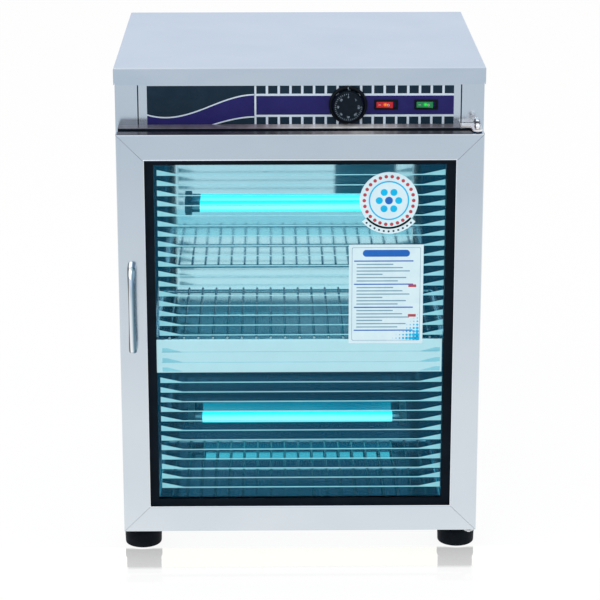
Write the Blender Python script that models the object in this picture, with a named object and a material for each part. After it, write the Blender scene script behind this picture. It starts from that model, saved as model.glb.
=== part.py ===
# Dish sterilizer cabinet: a stainless box with one glass door, two wire racks and two lamps.
# Metres, +Z up, front towards -Y. The origin is at the middle of the footprint.

import math
from collections import namedtuple

import bmesh
import bpy
from mathutils import Matrix, Vector

# Driving dimensions
HEIGHT = 0.630            # floor to the top of the cover
BODY_WIDTH = 0.455        # across the side walls
BODY_DEPTH = 0.381        # control panel face to back panel face
SHEET = 0.001             # stainless sheet
FIT = 0.0003              # gap kept between pieces that touch
OVERRUN = 0.004           # how far a cutter runs past the wall that it cuts
BEND = 0.0015             # outer radius of a folded edge
BEND_STEPS = 3

# Top section: the cover's lips and the control panel, down to the ledge
TOP_SECTION = 0.072
LIP_HEIGHT = 0.0215
COVER_CLEARANCE = 0.0005
LIP_NOTCH = 0.0028        # open corner at the bottom of the front lip
POST_WIDTH = 0.0275
POST_SEAM = 0.0015
BACK_FLANGE = 0.015
PANEL_FLANGE = 0.009

# Front frame, which the door closes on
LEDGE_DEPTH = 0.020
FRAME_INSET = 0.0035      # frame side behind the body side
FRAME_SIDE = 0.034
FRAME_TOP = 0.024
FRAME_BOTTOM = 0.016

# Inner liner
LINER_BACK_SPACE = 0.1007 # liner's back wall to the back of the body
LINER_FLANGE = 0.010
INSULATION_BACK = 0.030

# Feet
FOOT_HEIGHT = 0.0337
FOOT_RADIUS = 0.0240
FOOT_NECK_RADIUS = 0.0225
FOOT_SKIRT = 0.019
FOOT_SETBACK = 0.004
FOOT_RECESS_RADIUS = 0.008
FOOT_RECESS_DEPTH = 0.012
FOOT_EDGE = 0.0025

# Door
DOOR_REVEAL = 0.0025      # body side to door side
DOOR_THICKNESS = 0.018
DOOR_TOP_GAP = 0.002
DOOR_BOTTOM_GAP = 0.0015
DOOR_MEMBER = 0.034       # width of a rail or stile
DOOR_BACK_FLANGE = 0.020
DOOR_RETURN = 0.007       # depth of the fold at the inner edge of a member
SEAL_THICKNESS = 0.007
SEAL_WIDTH = 0.008
SEAL_SIDE_INSET = 0.018
SEAL_TOP_INSET = 0.008
SEAL_BOTTOM_INSET = 0.006
SEAL_LIP = 0.0022
GLASS_THICKNESS = 0.004
GLASS_EDGE = 0.031        # door edge to glass edge
GASKET_EDGE = 0.028
GASKET_SIDE_LIP = 0.045
GASKET_TOP_LIP = 0.0395
GASKET_BOTTOM_LIP = 0.0415
GASKET_CHEEK = 0.0028
RETAINER_INNER = 0.040
RETAINER_SHEET = 0.001

# Hinge
HINGE_EDGE = 0.0085       # axis to the right edge of the door
PIN_RADIUS = 0.0025
PIN_HEAD_RADIUS = 0.00375
PIN_HEAD_HEIGHT = 0.0026
PIN_REACH = 0.013         # how far a pin enters its bush
PIN_PLAY = 0.00016
BUSH_RADIUS = 0.0045
BUSH_LENGTH = 0.016
BUSH_COLLAR_RADIUS = 0.0058
BUSH_COLLAR = 0.0009
BRACKET_SHEET = 0.002
BRACKET_NOSE = 0.0062
BRACKET_WIDTH = 0.025
BRACKET_TAIL = 0.0165
BRACKET_LEG = 0.024
BRACKET_LEG_WIDTH = 0.0115

# Handle
HANDLE_REACH = 0.026
HANDLE_LENGTH = 0.119
HANDLE_RISE = 0.04075     # its middle above the middle of the door
HANDLE_WIDTH = 0.0106
HANDLE_WAIST = 0.0078
HANDLE_THICKNESS = 0.0068
HANDLE_STEPS = 26
HANDLE_SIDES = 12

# Catch and door switch
CATCH_LENGTH = 0.050
CATCH_WIDTH = 0.0115
CATCH_EDGE = 0.002
STRIKER_SHEET = 0.0012
SWITCH_DROP = 0.058       # ledge to the middle of the door switch
SWITCH_EDGE = 0.011
SWITCH_WIDTH = 0.013
SWITCH_LENGTH = 0.030
SWITCH_DEPTH = 0.017
PLUNGER_RADIUS = 0.003
PLUNGER_ENTRY = 0.005
PLUNGER_TRAVEL = 0.004
PLUNGER_PLAY = 0.0004

# Controls
KNOB_RADIUS = 0.0187
KNOB_FACE_RADIUS = 0.0178
KNOB_DEPTH = 0.0150
KNOB_EDGE = 0.0012
KNOB_DISH = 0.0008
BEZEL_RADIUS = 0.0238
BEZEL_BORE = 0.0195
BEZEL_DEPTH = 0.0045
SHAFT_RADIUS = 0.003
SHAFT_ENTRY = 0.009
SHAFT_PLAY = 0.0003
BOSS_RADIUS = 0.0048
BOSS_NUT = 0.0022
THERMOSTAT_WIDTH = 0.040
THERMOSTAT_HEIGHT = 0.036
THERMOSTAT_DEPTH = 0.038
LAMP_SWITCH_EDGE = 0.0427  # panel's right edge to the middle of the lamp switch
SWITCH_PITCH = 0.0494     # between the middles of the switches
KNOB_PITCH = 0.0469       # dial's middle to the middle of the power switch
BEZEL_WIDTH = 0.0289
BEZEL_HEIGHT = 0.0122
BEZEL_RISE = 0.0018
HOUSING_WIDTH = 0.0262
HOUSING_HEIGHT = 0.0100
HOUSING_DEPTH = 0.020
ROCKER_LENGTH = 0.0200
ROCKER_HEIGHT = 0.0072
ROCKER_DEPTH = 0.0062
ROCKER_RISE = 0.0024      # rocker ends above the bezel when level
ROCKER_DIP = 0.0016       # how much lower the middle of its face lies
ROCKER_PLAY = 0.0004
ROCKER_TILT = math.radians(8)

# Racks, their rails, lamps
RACK_ROD = 0.0025         # radius of the frame rods
RACK_WIRE = 0.0015        # radius of the wires
RACK_WIRE_PITCH = 0.0184
RACK_SINK = 0.0007        # how far a welded wire sinks into a rod
RACK_BACK_SPACE = 0.060   # rear rod to the liner's back wall
RACK_CORNER = 0.010
RACK_SETBACK = 0.009      # front rod behind the liner's mouth
RACK_SIDE_GAP = 0.0035
RACK_OVERHANG = 0.0035    # wire ends past the end rods
UPPER_RACK_RISE = 0.2255  # rod centre above the liner floor
LOWER_RACK_RISE = 0.0068
RAIL_SHEET = 0.0012
RAIL_WIDTH = 0.011
RAIL_UPSTAND = 0.014
RAIL_SETBACK = 0.004
RAIL_BACK_SPACE = 0.043
LAMP_RADIUS = 0.0078
LAMP_CAP_RADIUS = 0.0081
LAMP_CAP = 0.011
LAMP_MARGIN = 0.046       # liner wall to the end of a tube
LAMP_STANDOFF = 0.018
UPPER_LAMP_RISE = 0.1085  # above the rods of its rack
LOWER_LAMP_RISE = 0.0212
HOLDER_THICKNESS = 0.009
HOLDER_WIDTH = 0.020
HOLDER_BASE = 0.006

# Electrical pieces above the liner, the heater below it, and the cable's way out
BALLAST_LENGTH = 0.085
BALLAST_WIDTH = 0.042
BALLAST_HEIGHT = 0.034
BALLAST_FOOT = 0.012
BALLAST_FOOT_SHEET = 0.002
BALLAST_INSET = 0.090     # liner wall to the ballast's middle
BALLAST_SETBACK = 0.200
STARTER_RADIUS = 0.0105
STARTER_LENGTH = 0.036
STARTER_SPACING = 0.090   # between the middles of ballast and starter
SOCKET_RADIUS = 0.014
SOCKET_HEIGHT = 0.011
BULB_RADIUS = 0.003
BULB_LENGTH = 0.085
BULB_INSET = 0.040        # liner wall to the bulb
BULB_SETBACK = 0.090
HEATER_RADIUS = 0.0038
HEATER_SPAN = 0.280
HEATER_BACK_SPACE = 0.0236 # its rear bends to the liner's back wall
HEATER_LEGS = 4
HEATER_SETBACK = 0.060
HEATER_STRIP = 0.014
HEATER_STRIP_RISE = 0.0024
GLAND_RADIUS = 0.011
GLAND_BORE = 0.0042
GLAND_REACH = 0.010
GLAND_NECK_RADIUS = 0.0075
GLAND_NECK = 0.008
GLAND_EDGE = 0.0575       # body side to the gland's middle
GLAND_HEIGHT = 0.095
VENT_LENGTH = 0.045
VENT_HEIGHT = 0.004
VENT_PITCH = 0.010
VENT_ROWS = 5
VENT_DROP = 0.034
VENT_X = 0.095

# Shares of the sizes that they follow
HANDLE_ARCH_SHARE = 0.42       # power of the sine that rounds the bow
RACK_MIDDLE_ROD_SHARE = 0.5
THERMOSTAT_FLANGE_SHARE = 0.12
LAMP_HOLDER_RISE_SHARE = 0.55

ROUND_STEPS = 24
FINE_STEPS = 40
WIRE_SIDES = 6
ROD_SIDES = 8

# Planes worked out from the dimensions above, from front to back and from bottom to top
total_depth = (HANDLE_REACH + DOOR_THICKNESS + SEAL_THICKNESS + LEDGE_DEPTH + BODY_DEPTH
               + GLAND_REACH)
door_front = -total_depth / 2 + HANDLE_REACH
door_back = door_front + DOOR_THICKNESS
frame_front = door_back + SEAL_THICKNESS
panel_front = frame_front + LEDGE_DEPTH
body_back = panel_front + BODY_DEPTH
liner_back = body_back - LINER_BACK_SPACE
body_bottom = FOOT_HEIGHT + FIT
casing_top = HEIGHT - SHEET - FIT
ledge_top = HEIGHT - TOP_SECTION
door_top = ledge_top - DOOR_TOP_GAP
door_bottom = body_bottom + DOOR_BOTTOM_GAP
panel_middle = (ledge_top + HEIGHT - LIP_HEIGHT) / 2
door_width = BODY_WIDTH - 2 * DOOR_REVEAL
hinge_x = door_width / 2 - HINGE_EDGE
hinge_y = door_front + DOOR_THICKNESS / 2

Rect = namedtuple("Rect", "x0 x1 z0 z1")
frame_outer = Rect(-BODY_WIDTH / 2 + FRAME_INSET, BODY_WIDTH / 2 - FRAME_INSET, body_bottom, ledge_top)
mouth = Rect(frame_outer.x0 + FRAME_SIDE, frame_outer.x1 - FRAME_SIDE,
             frame_outer.z0 + FRAME_BOTTOM, frame_outer.z1 - FRAME_TOP)
door_outer = Rect(-door_width / 2, door_width / 2, door_bottom, door_top)
panel_half = BODY_WIDTH / 2 - POST_WIDTH - POST_SEAM
lamp_switch_x = panel_half - LAMP_SWITCH_EDGE
power_x = lamp_switch_x - SWITCH_PITCH
knob_x = power_x - KNOB_PITCH
switch_height = ledge_top - SWITCH_DROP
handle_centre = (door_bottom + door_top) / 2 + HANDLE_RISE
upper_rack_height = mouth.z0 + UPPER_RACK_RISE
lower_rack_height = mouth.z0 + LOWER_RACK_RISE
rack_front = panel_front + SHEET + FIT + RACK_SETBACK
rack_back = liner_back - RACK_BACK_SPACE
lamp_length = mouth.x1 - mouth.x0 - 2 * LAMP_MARGIN
gland_x = -BODY_WIDTH / 2 + GLAND_EDGE

# The finish of each kind of surface: colour, roughness, metallic, transmission
FINISHES = {
    "polished steel": ((0.62, 0.67, 0.72), 0.16, 1.0, 0.0),
    "mirror steel": ((0.70, 0.76, 0.80), 0.05, 1.0, 0.0),
    "zinc": ((0.55, 0.57, 0.58), 0.38, 1.0, 0.0),
    "chrome": ((0.80, 0.82, 0.84), 0.06, 1.0, 0.0),
    "wire": ((0.68, 0.71, 0.73), 0.22, 1.0, 0.0),
    "black rubber": ((0.012, 0.014, 0.017), 0.62, 0.0, 0.0),
    "black plastic": ((0.010, 0.013, 0.017), 0.38, 0.0, 0.0),
    "white plastic": ((0.75, 0.76, 0.75), 0.45, 0.0, 0.0),
    "red plastic": ((0.75, 0.02, 0.02), 0.25, 0.0, 0.3),
    "green plastic": ((0.01, 0.42, 0.12), 0.25, 0.0, 0.3),
    "grey plastic": ((0.30, 0.31, 0.32), 0.50, 0.0, 0.0),
    "clear glass": ((0.72, 0.90, 0.92), 0.03, 0.0, 1.0),
    "lamp glass": ((0.55, 0.93, 1.0), 0.08, 0.0, 0.6),
    "core steel": ((0.10, 0.10, 0.11), 0.55, 0.6, 0.0),
    "heater sheath": ((0.28, 0.26, 0.25), 0.45, 1.0, 0.0),
    "mineral board": ((0.70, 0.66, 0.55), 0.90, 0.0, 0.0),
}


def clear_scene():
    for obj in list(bpy.data.objects):
        bpy.data.objects.remove(obj, do_unlink=True)


def own_material(name, finish):
    colour, roughness, metallic, transmission = FINISHES[finish]
    made = bpy.data.materials.new(name + " " + finish)
    made.use_nodes = True
    shader = made.node_tree.nodes["Principled BSDF"]
    shader.inputs["Base Color"].default_value = (*colour, 1)
    shader.inputs["Roughness"].default_value = roughness
    shader.inputs["Metallic"].default_value = metallic
    shader.inputs["Transmission Weight"].default_value = transmission
    made.diffuse_color = (*colour, 1)
    return made


def piece(name, shape, finish, pivot=(0, 0, 0), smooth=False):
    """Makes an object of a bmesh, with its origin at the pivot."""
    bmesh.ops.recalc_face_normals(shape, faces=shape.faces)
    bmesh.ops.translate(shape, verts=shape.verts, vec=-Vector(pivot))
    mesh = bpy.data.meshes.new(name)
    shape.to_mesh(mesh)
    shape.free()
    mesh.materials.append(own_material(name, finish))
    if smooth:
        mesh.shade_smooth()
        mesh.set_sharp_from_angle(angle=math.radians(35))
    obj = bpy.data.objects.new(name, mesh)
    obj.location = pivot
    bpy.context.scene.collection.objects.link(obj)
    return obj


def helper(name, shape):
    """Makes an object that only shapes another, and isn't part of the cabinet."""
    bmesh.ops.recalc_face_normals(shape, faces=shape.faces)
    mesh = bpy.data.meshes.new(name)
    shape.to_mesh(mesh)
    shape.free()
    obj = bpy.data.objects.new(name, mesh)
    obj.hide_render = True
    obj.display_type = "WIRE"
    bpy.context.scene.collection.objects.link(obj)
    return obj


def combine(obj, shape, operation):
    made = obj.modifiers.new(operation.lower(), "BOOLEAN")
    made.operation = operation
    made.solver = "EXACT"
    made.object = helper(obj.name + "_" + operation.lower() + str(len(obj.modifiers)), shape)


def cut(obj, shape):
    combine(obj, shape, "DIFFERENCE")


def weld(obj, shape):
    combine(obj, shape, "UNION")


def block(shape, x0, x1, y0, y1, z0, z1):
    corners = [(x, y, z) for z in (z0, z1) for x, y in ((x0, y0), (x1, y0), (x1, y1), (x0, y1))]
    verts = [shape.verts.new(corner) for corner in corners]
    shape.faces.new(verts[3::-1])
    shape.faces.new(verts[4:])
    for i in range(4):
        j = (i + 1) % 4
        shape.faces.new((verts[i], verts[j], verts[4 + j], verts[4 + i]))


def loft(shape, loops, ring=False):
    """Bridges loops of equally many points, and caps both ends unless they close on each other."""
    made = [[shape.verts.new(point) for point in loop] for loop in loops]
    pairs = list(zip(made, made[1:] + made[:1]))
    for first, second in pairs if ring else pairs[:-1]:
        for i in range(len(first)):
            j = (i + 1) % len(first)
            shape.faces.new((first[i], first[j], second[j], second[i]))
    if not ring:
        shape.faces.new(made[0])
        shape.faces.new(made[-1])


def shrunk(rect, by):
    return Rect(rect.x0 + by, rect.x1 - by, rect.z0 + by, rect.z1 - by)


def inset(rect, side, bottom, top):
    return Rect(rect.x0 + side, rect.x1 - side, rect.z0 + bottom, rect.z1 - top)


def around(x, z, width, height):
    return Rect(x - width / 2, x + width / 2, z - height / 2, z + height / 2)


def upright(rect, y):
    """The rectangle as a loop that faces the front."""
    return [(rect.x0, y, rect.z0), (rect.x1, y, rect.z0), (rect.x1, y, rect.z1), (rect.x0, y, rect.z1)]


def level(rect, z):
    """The rectangle as a loop that lies flat, its z taken as y."""
    return [(rect.x0, rect.z0, z), (rect.x1, rect.z0, z), (rect.x1, rect.z1, z), (rect.x0, rect.z1, z)]


def fold(radius, steps=BEND_STEPS):
    """Pairs (inward, deep) round a folded edge, from its face to its side."""
    angles = [math.pi / 2 * i / steps for i in range(steps + 1)]
    return [(radius * (1 - math.sin(a)), radius * (1 - math.cos(a))) for a in angles]


def circle(x, y, z, radius, axis, steps):
    """A loop of points round an axis through the point."""
    points = []
    for i in range(steps):
        turn = 2 * math.pi * i / steps
        a = radius * math.cos(turn)
        b = radius * math.sin(turn)
        points.append({"X": (x, y + a, z + b), "Y": (x + a, y, z + b), "Z": (x + a, y + b, z)}[axis])
    return points


def turned(shape, centre, profile, axis, steps=ROUND_STEPS, ring=False):
    """Turns a profile of (radius, place along the axis) round the axis through the centre."""
    loops = []
    for radius, along in profile:
        place = [centre[k] + (along if "XYZ"[k] == axis else 0) for k in range(3)]
        loops.append(circle(*place, radius, axis, steps))
    loft(shape, loops, ring)


def prism(shape, outline, axis, start, end):
    """Pushes an outline along an axis. The outline's pairs are the other two axes in order."""
    def at(pair, along):
        a, b = pair
        return {"X": (along, a, b), "Y": (a, along, b), "Z": (a, b, along)}[axis]
    loft(shape, [[at(pair, start) for pair in outline], [at(pair, end) for pair in outline]])


def flat_tube(shape, path, radius, ring=False):
    """A tube along a path that lies level, closed on itself as a ring or capped at both ends."""
    points = [Vector(point) for point in path]
    count = len(points)
    loops = []
    for i, point in enumerate(points):
        before = points[i - 1] if ring or i else point
        after = points[(i + 1) % count] if ring or i + 1 < count else point
        tangent = (after - before).normalized()
        side = Vector((tangent.y, -tangent.x, 0))
        loop = []
        for k in range(ROD_SIDES):
            turn = 2 * math.pi * k / ROD_SIDES
            loop.append(point + side * radius * math.cos(turn) + Vector((0, 0, radius * math.sin(turn))))
        loops.append(loop)
    loft(shape, loops, ring)


# Casing, covers and frames

def outer_casing():
    half = BODY_WIDTH / 2
    back = body_back - SHEET - FIT
    shape = bmesh.new()
    left = [(-half, panel_front), (-half + POST_WIDTH, panel_front), (-half + POST_WIDTH, panel_front + SHEET),
            (-half + SHEET, panel_front + SHEET), (-half + SHEET, back - SHEET),
            (-half + BACK_FLANGE, back - SHEET), (-half + BACK_FLANGE, back), (-half, back)]
    prism(shape, left, "Z", body_bottom, casing_top)
    casing = piece("outer_casing", shape, "polished steel")
    other = bmesh.new()
    prism(other, [(-x, y) for x, y in left], "Z", body_bottom, casing_top)
    weld(casing, other)
    floor = bmesh.new()
    block(floor, -half + SHEET / 2, half - SHEET / 2, panel_front, back, body_bottom, body_bottom + SHEET)
    weld(casing, floor)


def back_panel():
    half = BODY_WIDTH / 2
    shape = bmesh.new()
    block(shape, -half, half, body_back - SHEET, body_back, body_bottom, casing_top)
    panel = piece("back_panel", shape, "polished steel")
    slots = bmesh.new()
    for side in (-1, 1):
        for row in range(VENT_ROWS):
            z = HEIGHT - VENT_DROP - row * VENT_PITCH
            slot = around(side * VENT_X, z, VENT_LENGTH, VENT_HEIGHT)
            loft(slots, [upright(slot, body_back - SHEET - OVERRUN), upright(slot, body_back + OVERRUN)])
    cut(panel, slots)
    hole = bmesh.new()
    turned(hole, (gland_x, body_back, GLAND_HEIGHT),
           [(GLAND_NECK_RADIUS + FIT, -SHEET - OVERRUN), (GLAND_NECK_RADIUS + FIT, OVERRUN)], "Y")
    cut(panel, hole)


def top_cover():
    grow = COVER_CLEARANCE + SHEET
    outer = Rect(-BODY_WIDTH / 2 - grow, BODY_WIDTH / 2 + grow, panel_front - grow, body_back + grow)
    lip_bottom = HEIGHT - LIP_HEIGHT
    loops = [level(shrunk(outer, inward), HEIGHT - deep) for inward, deep in fold(BEND)]
    loops.append(level(outer, lip_bottom))
    loops.append(level(shrunk(outer, SHEET), lip_bottom))
    loops.append(level(shrunk(outer, SHEET), HEIGHT - SHEET))
    shape = bmesh.new()
    loft(shape, loops)
    cover = piece("top_cover", shape, "polished steel")
    notches = bmesh.new()
    for x in (outer.x0, outer.x1):
        inner = x - math.copysign(LIP_NOTCH, x)
        outside = x + math.copysign(OVERRUN, x)
        block(notches, min(inner, outside), max(inner, outside), outer.z0 - OVERRUN, outer.z0 + SHEET + FIT,
              lip_bottom - OVERRUN, lip_bottom + LIP_NOTCH)
    cut(cover, notches)


def front_frame():
    back = panel_front - FIT
    loops = [upright(frame_outer, back)]
    loops += [upright(shrunk(frame_outer, inward), frame_front + deep) for inward, deep in fold(BEND)[::-1]]
    loops.append(upright(mouth, frame_front))
    loops.append(upright(mouth, back))
    loops.append(upright(shrunk(mouth, -SHEET), back))
    loops.append(upright(shrunk(mouth, -SHEET), frame_front + SHEET))
    loops.append(upright(shrunk(frame_outer, SHEET), frame_front + SHEET))
    loops.append(upright(shrunk(frame_outer, SHEET), back))
    shape = bmesh.new()
    loft(shape, loops, ring=True)
    frame = piece("front_frame", shape, "mirror steel")
    hole = bmesh.new()
    turned(hole, (switch_x(), frame_front, switch_height),
           [(PLUNGER_RADIUS + PLUNGER_PLAY, -OVERRUN), (PLUNGER_RADIUS + PLUNGER_PLAY, SHEET + OVERRUN)], "Y")
    cut(frame, hole)


def control_panel():
    outer = Rect(-panel_half, panel_half, ledge_top + FIT, casing_top)
    shape = bmesh.new()
    loft(shape, [upright(outer, panel_front), upright(outer, panel_front + PANEL_FLANGE),
                 upright(shrunk(outer, SHEET), panel_front + PANEL_FLANGE),
                 upright(shrunk(outer, SHEET), panel_front + SHEET)])
    panel = piece("control_panel", shape, "polished steel")
    holes = bmesh.new()
    turned(holes, (knob_x, panel_front, panel_middle),
           [(BOSS_RADIUS + FIT, -OVERRUN), (BOSS_RADIUS + FIT, SHEET + OVERRUN)], "Y")
    for x in (power_x, lamp_switch_x):
        hole = shrunk(around(x, panel_middle, HOUSING_WIDTH, HOUSING_HEIGHT), -FIT)
        loft(holes, [upright(hole, panel_front - OVERRUN), upright(hole, panel_front + SHEET + OVERRUN)])
    cut(panel, holes)


def inner_liner():
    front = panel_front + SHEET + FIT
    wall = shrunk(mouth, -SHEET)
    flange = shrunk(mouth, -LINER_FLANGE)
    loops = [upright(wall, liner_back + SHEET), upright(wall, front + SHEET), upright(flange, front + SHEET),
             upright(flange, front), upright(mouth, front), upright(mouth, liner_back)]
    shape = bmesh.new()
    loft(shape, loops)
    piece("inner_liner", shape, "mirror steel")


def insulation():
    half = BODY_WIDTH / 2 - SHEET - FIT
    inner = mouth.x1 + SHEET + FIT
    front = panel_front + SHEET + FIT + SHEET + FIT
    bottom = body_bottom + SHEET + FIT
    top = mouth.z1
    for name, x0, x1 in (("insulation_left", -half, -inner), ("insulation_right", inner, half)):
        shape = bmesh.new()
        block(shape, x0, x1, front, liner_back, bottom, top)
        piece(name, shape, "mineral board")
    start = liner_back + SHEET + FIT
    shape = bmesh.new()
    block(shape, -half, half, start, start + INSULATION_BACK, bottom, top)
    piece("insulation_back", shape, "mineral board")


def feet():
    skirt = FOOT_SKIRT
    profile = [(FOOT_RECESS_RADIUS, FOOT_RECESS_DEPTH), (FOOT_RECESS_RADIUS, 0), (FOOT_RADIUS - FOOT_EDGE, 0),
               (FOOT_RADIUS - FOOT_EDGE / 3, FOOT_EDGE / 3), (FOOT_RADIUS, FOOT_EDGE), (FOOT_RADIUS, skirt),
               (FOOT_NECK_RADIUS, skirt + FOOT_EDGE), (FOOT_NECK_RADIUS, FOOT_HEIGHT)]
    x = BODY_WIDTH / 2 - FOOT_RADIUS
    front = frame_front + FOOT_SETBACK + FOOT_RADIUS
    back = body_back - FOOT_SETBACK - FOOT_RADIUS
    for end, y in (("front", front), ("back", back)):
        for side, place in (("left", -x), ("right", x)):
            shape = bmesh.new()
            turned(shape, (place, y, 0), profile, "Z", FINE_STEPS)
            piece("foot_" + end + "_" + side, shape, "black rubber", smooth=True)


# Door

def member_profile():
    """A folded channel as pairs (inward from the door's edge, back from its face)."""
    edge = [(inward, deep) for inward, deep in fold(BEND)[::-1]]
    inner_edge = [(DOOR_MEMBER - inward, deep) for inward, deep in fold(BEND)]
    outside = [(0, DOOR_THICKNESS), *edge, *inner_edge, (DOOR_MEMBER, DOOR_RETURN)]
    inside = [(DOOR_MEMBER - SHEET, DOOR_RETURN), (DOOR_MEMBER - SHEET, BEND), (DOOR_MEMBER - BEND, SHEET),
              (BEND, SHEET), (SHEET, BEND), (SHEET, DOOR_THICKNESS - SHEET),
              (DOOR_BACK_FLANGE, DOOR_THICKNESS - SHEET), (DOOR_BACK_FLANGE, DOOR_THICKNESS)]
    return outside + inside


def door_members():
    """Four channels whose ends are cut on the mitre, so that an end recedes as the profile goes inward."""
    back_off = FIT / math.sqrt(2)
    rect = door_outer
    sides = {
        "door_rail_top": lambda u, end: (end * (rect.x1 - u - back_off), rect.z1 - u),
        "door_rail_bottom": lambda u, end: (end * (rect.x1 - u - back_off), rect.z0 + u),
        "door_stile_left": lambda u, end: (rect.x0 + u, mitre_height(u + back_off, end)),
        "door_stile_right": lambda u, end: (rect.x1 - u, mitre_height(u + back_off, end)),
    }
    made = {}
    for name, place in sides.items():
        loops = []
        for end in (-1, 1):
            places = [(*place(u, end), door_front + deep) for u, deep in member_profile()]
            loops.append([(x, y, z) for x, z, y in places])
        shape = bmesh.new()
        loft(shape, loops)
        made[name] = piece(name, shape, "polished steel")
    for name, z in (("door_rail_top", rect.z1), ("door_rail_bottom", rect.z0)):
        hole = bmesh.new()
        turned(hole, (hinge_x, hinge_y, z),
               [(BUSH_RADIUS + FIT, -SHEET - OVERRUN), (BUSH_RADIUS + FIT, SHEET + OVERRUN)], "Z")
        cut(made[name], hole)


def mitre_height(back_off, end):
    return door_outer.z1 - back_off if end > 0 else door_outer.z0 + back_off


def door_glass():
    rect = shrunk(door_outer, GLASS_EDGE)
    front = glass_front()
    shape = bmesh.new()
    loft(shape, [upright(rect, front), upright(rect, front + GLASS_THICKNESS)])
    piece("door_glass", shape, "clear glass")


def glass_front():
    return door_front + DOOR_RETURN + FIT + GASKET_CHEEK + FIT


def glazing_gasket():
    """A rubber channel round the edge of the glass."""
    front = door_front + DOOR_RETURN + FIT
    slot_front = glass_front() - FIT
    slot_back = glass_front() + GLASS_THICKNESS + FIT
    back = door_back - RETAINER_SHEET - FIT
    outer = shrunk(door_outer, GASKET_EDGE)
    lip = inset(door_outer, GASKET_SIDE_LIP, GASKET_BOTTOM_LIP, GASKET_TOP_LIP)
    floor = shrunk(door_outer, GLASS_EDGE - FIT)
    shape = bmesh.new()
    loft(shape, [upright(outer, front), upright(lip, front + FIT), upright(lip, slot_front),
                 upright(floor, slot_front), upright(floor, slot_back), upright(lip, slot_back),
                 upright(lip, back), upright(outer, back)], ring=True)
    piece("glazing_gasket", shape, "black rubber")


def door_back_retainer():
    outer = shrunk(door_outer, DOOR_BACK_FLANGE + FIT)
    inner = shrunk(door_outer, RETAINER_INNER)
    front = door_back - RETAINER_SHEET
    shape = bmesh.new()
    loft(shape, [upright(outer, front), upright(inner, front), upright(inner, door_back),
                 upright(outer, door_back)], ring=True)
    piece("door_back_retainer", shape, "polished steel")


def door_seal():
    """A soft strip with a groove, which meets the front frame all the way round."""
    outer = inset(door_outer, SEAL_SIDE_INSET, SEAL_BOTTOM_INSET, SEAL_TOP_INSET)
    inner = shrunk(outer, SEAL_WIDTH)
    front = door_back + FIT
    back = frame_front - FIT
    groove = (front + back) / 2
    shape = bmesh.new()
    loft(shape, [upright(outer, front), upright(inner, front), upright(inner, back),
                 upright(shrunk(outer, SEAL_WIDTH - SEAL_LIP), back),
                 upright(shrunk(outer, SEAL_WIDTH / 2), groove),
                 upright(shrunk(outer, SEAL_LIP), back), upright(outer, back)], ring=True)
    piece("door_seal", shape, "black rubber")


def door_handle():
    """A bow that stands on the left stile, broad at its feet and narrow in the middle."""
    x = -door_width / 2 + DOOR_MEMBER / 2
    start = door_front - FIT
    rise = HANDLE_REACH - FIT - HANDLE_THICKNESS / 2
    run = (HANDLE_LENGTH - HANDLE_WIDTH) / 2
    path = []
    radii = []
    for i in range(HANDLE_STEPS + 1):
        turn = math.pi * i / HANDLE_STEPS
        height = math.sin(turn) ** HANDLE_ARCH_SHARE if 0 < i < HANDLE_STEPS else 0
        path.append((x, start - rise * height, handle_centre - run * math.cos(turn)))
        width = HANDLE_WAIST + (HANDLE_WIDTH - HANDLE_WAIST) * math.cos(turn) ** 2
        radii.append((width / 2, HANDLE_THICKNESS / 2))
    shape = bmesh.new()
    bow_loops(shape, path, radii)
    piece("door_handle", shape, "chrome", smooth=True)


def bow_loops(shape, path, radii):
    """Sections square to the path, except the two feet, which stay flat on the stile."""
    points = [Vector(point) for point in path]
    loops = []
    last = len(points) - 1
    for i, point in enumerate(points):
        tangent = points[min(i + 1, last)] - points[max(i - 1, 0)]
        if i in (0, last):
            tangent = Vector((0, -1 if i == 0 else 1, 0))
        tangent.normalize()
        side = Vector((1, 0, 0)).cross(tangent)
        across, within = radii[i]
        if i in (0, last):
            within = across
        loop = []
        for k in range(HANDLE_SIDES):
            turn = 2 * math.pi * k / HANDLE_SIDES
            loop.append(point + Vector((across * math.cos(turn), 0, 0)) + side * within * math.sin(turn))
        loops.append(loop)
    loft(shape, loops)


# Hinges

def bush(name, z, away):
    """A collared bush let into a rail. The collar lies outside, and away is +1 where that is up."""
    bore = PIN_RADIUS + PIN_PLAY
    length = BUSH_LENGTH
    profile = [(bore, away * BUSH_COLLAR), (BUSH_COLLAR_RADIUS, away * BUSH_COLLAR),
               (BUSH_COLLAR_RADIUS, away * FIT), (BUSH_RADIUS, away * FIT), (BUSH_RADIUS, -away * length),
               (bore, -away * length)]
    shape = bmesh.new()
    turned(shape, (hinge_x, hinge_y, z), profile, "Z", ring=True)
    piece(name, shape, "white plastic", smooth=True)


def hinge_pin(name, z, away):
    """A round-headed pin that hangs in its bracket. z is the bracket face that the head lies on."""
    head = [(PIN_HEAD_RADIUS * math.cos(a), away * (FIT + PIN_HEAD_HEIGHT * math.sin(a)))
            for a in [math.pi / 2 * i / 4 for i in range(4)]]
    length = BRACKET_SHEET + PIN_REACH
    profile = head[::-1] + [(PIN_RADIUS, away * FIT), (PIN_RADIUS, -away * (length - PIN_RADIUS / 2)),
                            (PIN_RADIUS / 2, -away * length)]
    shape = bmesh.new()
    turned(shape, (hinge_x, hinge_y, z), profile, "Z")
    piece(name, shape, "chrome", smooth=True)


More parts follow.
